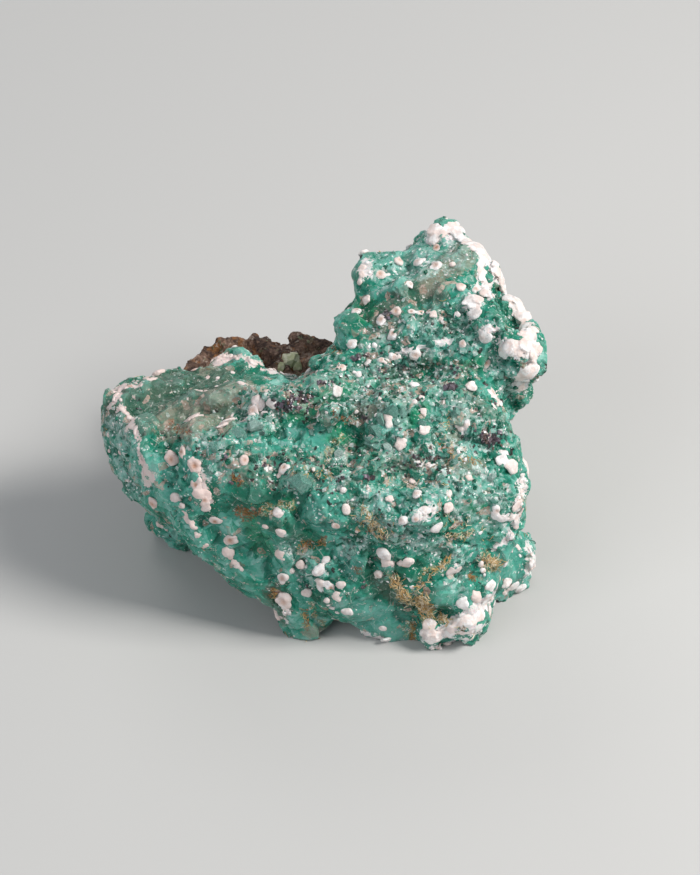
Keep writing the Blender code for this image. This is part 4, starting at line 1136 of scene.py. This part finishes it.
# Tufts as seen: half width, route, how many, lightest tint and longest length
TUFTS = [
    (0.9, [(6, -19.2), (7, -21.4), (8.6, -22.4)], 110, 1.0, 1.3),
    (1.0, [(9.6, -22), (10.8, -24.6)], 170, 1.0, 1.4),
    (0.9, [(18.4, -16.6), (20.4, -17.4)], 100, 1.0, 1.2),
    (0.4, [(12.4, -24.6), (15.4, -26.2)], 60, 1.2, 1.9), (1.2, [(1, -10), (5, -13)], 90, 1.0, 1.0),
    (0.6, [(-3.6, -14.4), (-7, -15)], 40, .6, .9), (0.4, [(-6.4, -24), (-6, -25.8)], 30, .7, .9),
    (0.4, [(8.6, -27.8), (8.6, -25.8)], 40, .6, 1.0), (0.3, [(9.4, -20.6), (13.6, -16.6)], 36, 1.0, 1.5),
    (0.6, [(13, -13.6), (16.6, -13.6)], 24, 1.2, 1.2), (0.8, [(12, -.8), (14, 3)], 30, 1.0, .8),
    (0.4, [(-16, -5.2), (-15, -6.2)], 30, .4, .7), (0.5, [(-15, -10), (-13, -10.6)], 36, .4, .9),
    (0.5, [(16.4, -19), (17, -19.4)], 20, .5, .7), (0.5, [(-10.5, -21), (-10.2, -22)], 20, .7, .8),
    (1.6, [(12, -10), (19, -13)], 30, 1.4, 1.1), (1.2, [(5, -6), (14, -7)], 22, 1.2, .9),
    (0.8, [(-8, -4.4), (-2, -5)], 40, .9, .9), (0.6, [(14, -2.4), (18, -3.8)], 30, .9, 1.0),
]


def bent_needle(bend):
    """A thin tapered needle of length one that bends a little."""
    bpy.ops.object.select_all(action="DESELECT")
    bpy.ops.curve.primitive_bezier_curve_add(radius=0.5)
    curve = bpy.context.object.data
    curve.bevel_depth = 0.06
    curve.bevel_resolution = 0
    curve.resolution_u = 3
    curve.use_fill_caps = True
    start, end = curve.splines[0].bezier_points
    start.co = (-0.5, 0, 0)
    start.handle_left = (-0.7, -bend, 0)
    start.handle_right = (-0.2, bend, bend * 0.6)
    end.co = (0.5, 0, 0)
    end.handle_left = (0.2, bend, bend * 0.6)
    end.handle_right = (0.7, -bend, 0)
    end.radius = 0.3
    bpy.ops.object.convert(target="MESH")
    return take_shape()


needles = [bent_needle(bend) for bend in (0.03, 0.09, 0.20)]
copies = []
tints = []


def lay_needle(place, normal, length, tint):
    """Adds one needle that lies nearly flat on the skin."""
    lean = normal + chance.normal(0, 0.22, 3)
    matrix = skin_frame(lean / np.linalg.norm(lean), chance.uniform(0, math.tau))
    girth = max(length, THINNEST_LENGTH)
    sizes = np.array([length, girth, girth])
    copies.append((one_of(needles), place + normal * 0.05, matrix * sizes[:, None]))
    tints.append(tint)


for half_width, route, count, lightest, longest in TUFTS:
    line = along(route, 0.2)
    for spot in line[chance.integers(0, len(line), count)]:
        across, up = spot + chance.normal(0, half_width * 0.5, 2)
        length = longest * chance.uniform(0.35, 1.0)
        lay_needle(*seen_on(skin, across, up), length, lightest * chance.uniform(0.4, 1))
hidden = (1 - in_sight) * (cover["ochre"] + cover["rust"]) + 0.004
for place, normal in zip(*random_places(mass, UNSEEN_FIBRES, hidden)):
    lay_needle(place, normal, chance.uniform(0.4, 1.3), chance.uniform(0.2, 0.9))
fibres, owners = stamp("ochre_fibres", copies)
keep_values(fibres, "tint", np.array(tints)[owners], "FACE")

straw = Paint("ochre_fibres")
colour = straw.ramp(straw.kept("tint"), [
    (0.10, (0.12, 0.035, 0.010)), (0.35, (0.34, 0.16, 0.035)), (0.62, (0.55, 0.36, 0.13)),
    (0.90, (0.74, 0.66, 0.50)),
])
straw.set(Base_Color=straw.mix(straw.noise(0.3) * 0.3, colour, (0.50, 0.36, 0.18)), Roughness=0.55)
fibres.data.materials.append(straw.material)
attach(fibres, "root")

# The host rock is a remnant of the brown, weathered rock that the mass grew on. It fills the room
# behind the left arm. Its skin starts from the solid and is broken into rough faces, and its front
# is moved on into the mass, since the contact between the two is grown and has no gap.
ROCK_VOXEL = 0.3
CONTACT_DEPTH = 0.5
# Broken faces, coarse to fine: how far apart, how far turned, step, deepest cut and seed
ROCK_FACES = [
    (3.0, 0.35, 0.3, 0.6, 71),
    (1.2, 0.3, 0.14, 0.25, 72),
]
rock = copy_of_node("host_rock", "brown_host_rock")
reskin(rock, ROCK_VOXEL, 3)
points = points_of(rock)
normals = normals_of(rock)
for spacing, tilt, step, depth, seed in ROCK_FACES:
    points = cleave(points, normals, area_of(rock), spacing, tilt, step, depth, seed)
rough = (cloud(points, 0.9, 73) - 0.5) * 0.4 + (cloud(points, 0.45, 74) - 0.5) * 0.2
points = points + normals * rough[:, None]
points[normals[:, 1] < -0.6, 1] -= CONTACT_DEPTH
points[points[:, 2] < FLAT_BAND, 2] = 0
put_points(rock, points)
only(rock)
bpy.ops.object.shade_smooth_by_angle(angle=math.radians(20))

brown = Paint("weathered_host_rock")
broad = brown.noise(3.0)
lumps = brown.grains(0.5)
fine = brown.noise(0.4, 4)
tone = broad * 0.9 + lumps.first * 0.10 + (fine - 0.5) * 0.7 + (brown.noise(1.1) - 0.5) * 0.5
colour = brown.ramp(tone, [
    (0.34, (0.045, 0.024, 0.018)), (0.48, (0.125, 0.070, 0.048)), (0.62, (0.25, 0.15, 0.105)),
    (0.78, (0.42, 0.30, 0.24)),
])
colour = brown.mix(brown.noise(1.8).between(0.52, 0.66) * 0.7, colour, (0.36, 0.15, 0.045))
colour = brown.mix((lumps.second + fine * 0.4).between(1.10, 1.18) * 0.6, colour, (0.50, 0.42, 0.35))
colour = brown.mix((lumps.third + fine * 0.4).between(1.12, 1.20) * 0.5, colour, (0.20, 0.26, 0.14))
brown.set(Base_Color=colour, Roughness=0.85, Normal=brown.bump(fine + lumps.face * 0.5, 0.35))
rock.data.materials.clear()
rock.data.materials.append(brown.material)
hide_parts("host_rock")
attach(rock, "root")

# The pale crystal on the host rock is a yellow-green, frosted block that shows, out of focus, over
# the saddle. It is a group of cut blocks grown onto the rock and partly sunk in it.
# Blocks as seen: across, up and radius
PALE_BLOCKS = [(-8.4, 10.4, 1.5), (-7.2, 9.8, 1.2), (-9.4, 9.6, 0.9), (-7.6, 11.2, 0.7)]
copies = []
rock_skin = skin_of(rock)
for across, up, radius in PALE_BLOCKS:
    place, normal = seen_on(rock_skin, across, up)
    copies.append((one_of(crystals), place - normal * radius * 0.1, turned_at_random(radius)))
block = stamp("pale_rock_crystal", copies)[0]
pale = Paint("pale_yellow_green_crystal")
colour = pale.mix(pale.noise(0.8).between(0.4, 0.65), (0.46, 0.48, 0.26), (0.72, 0.70, 0.52))
pale.set(Base_Color=colour, Roughness=0.5, Normal=pale.bump(pale.grains(0.7).face, 0.4))
block.data.materials.append(pale.material)
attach(block, "root")
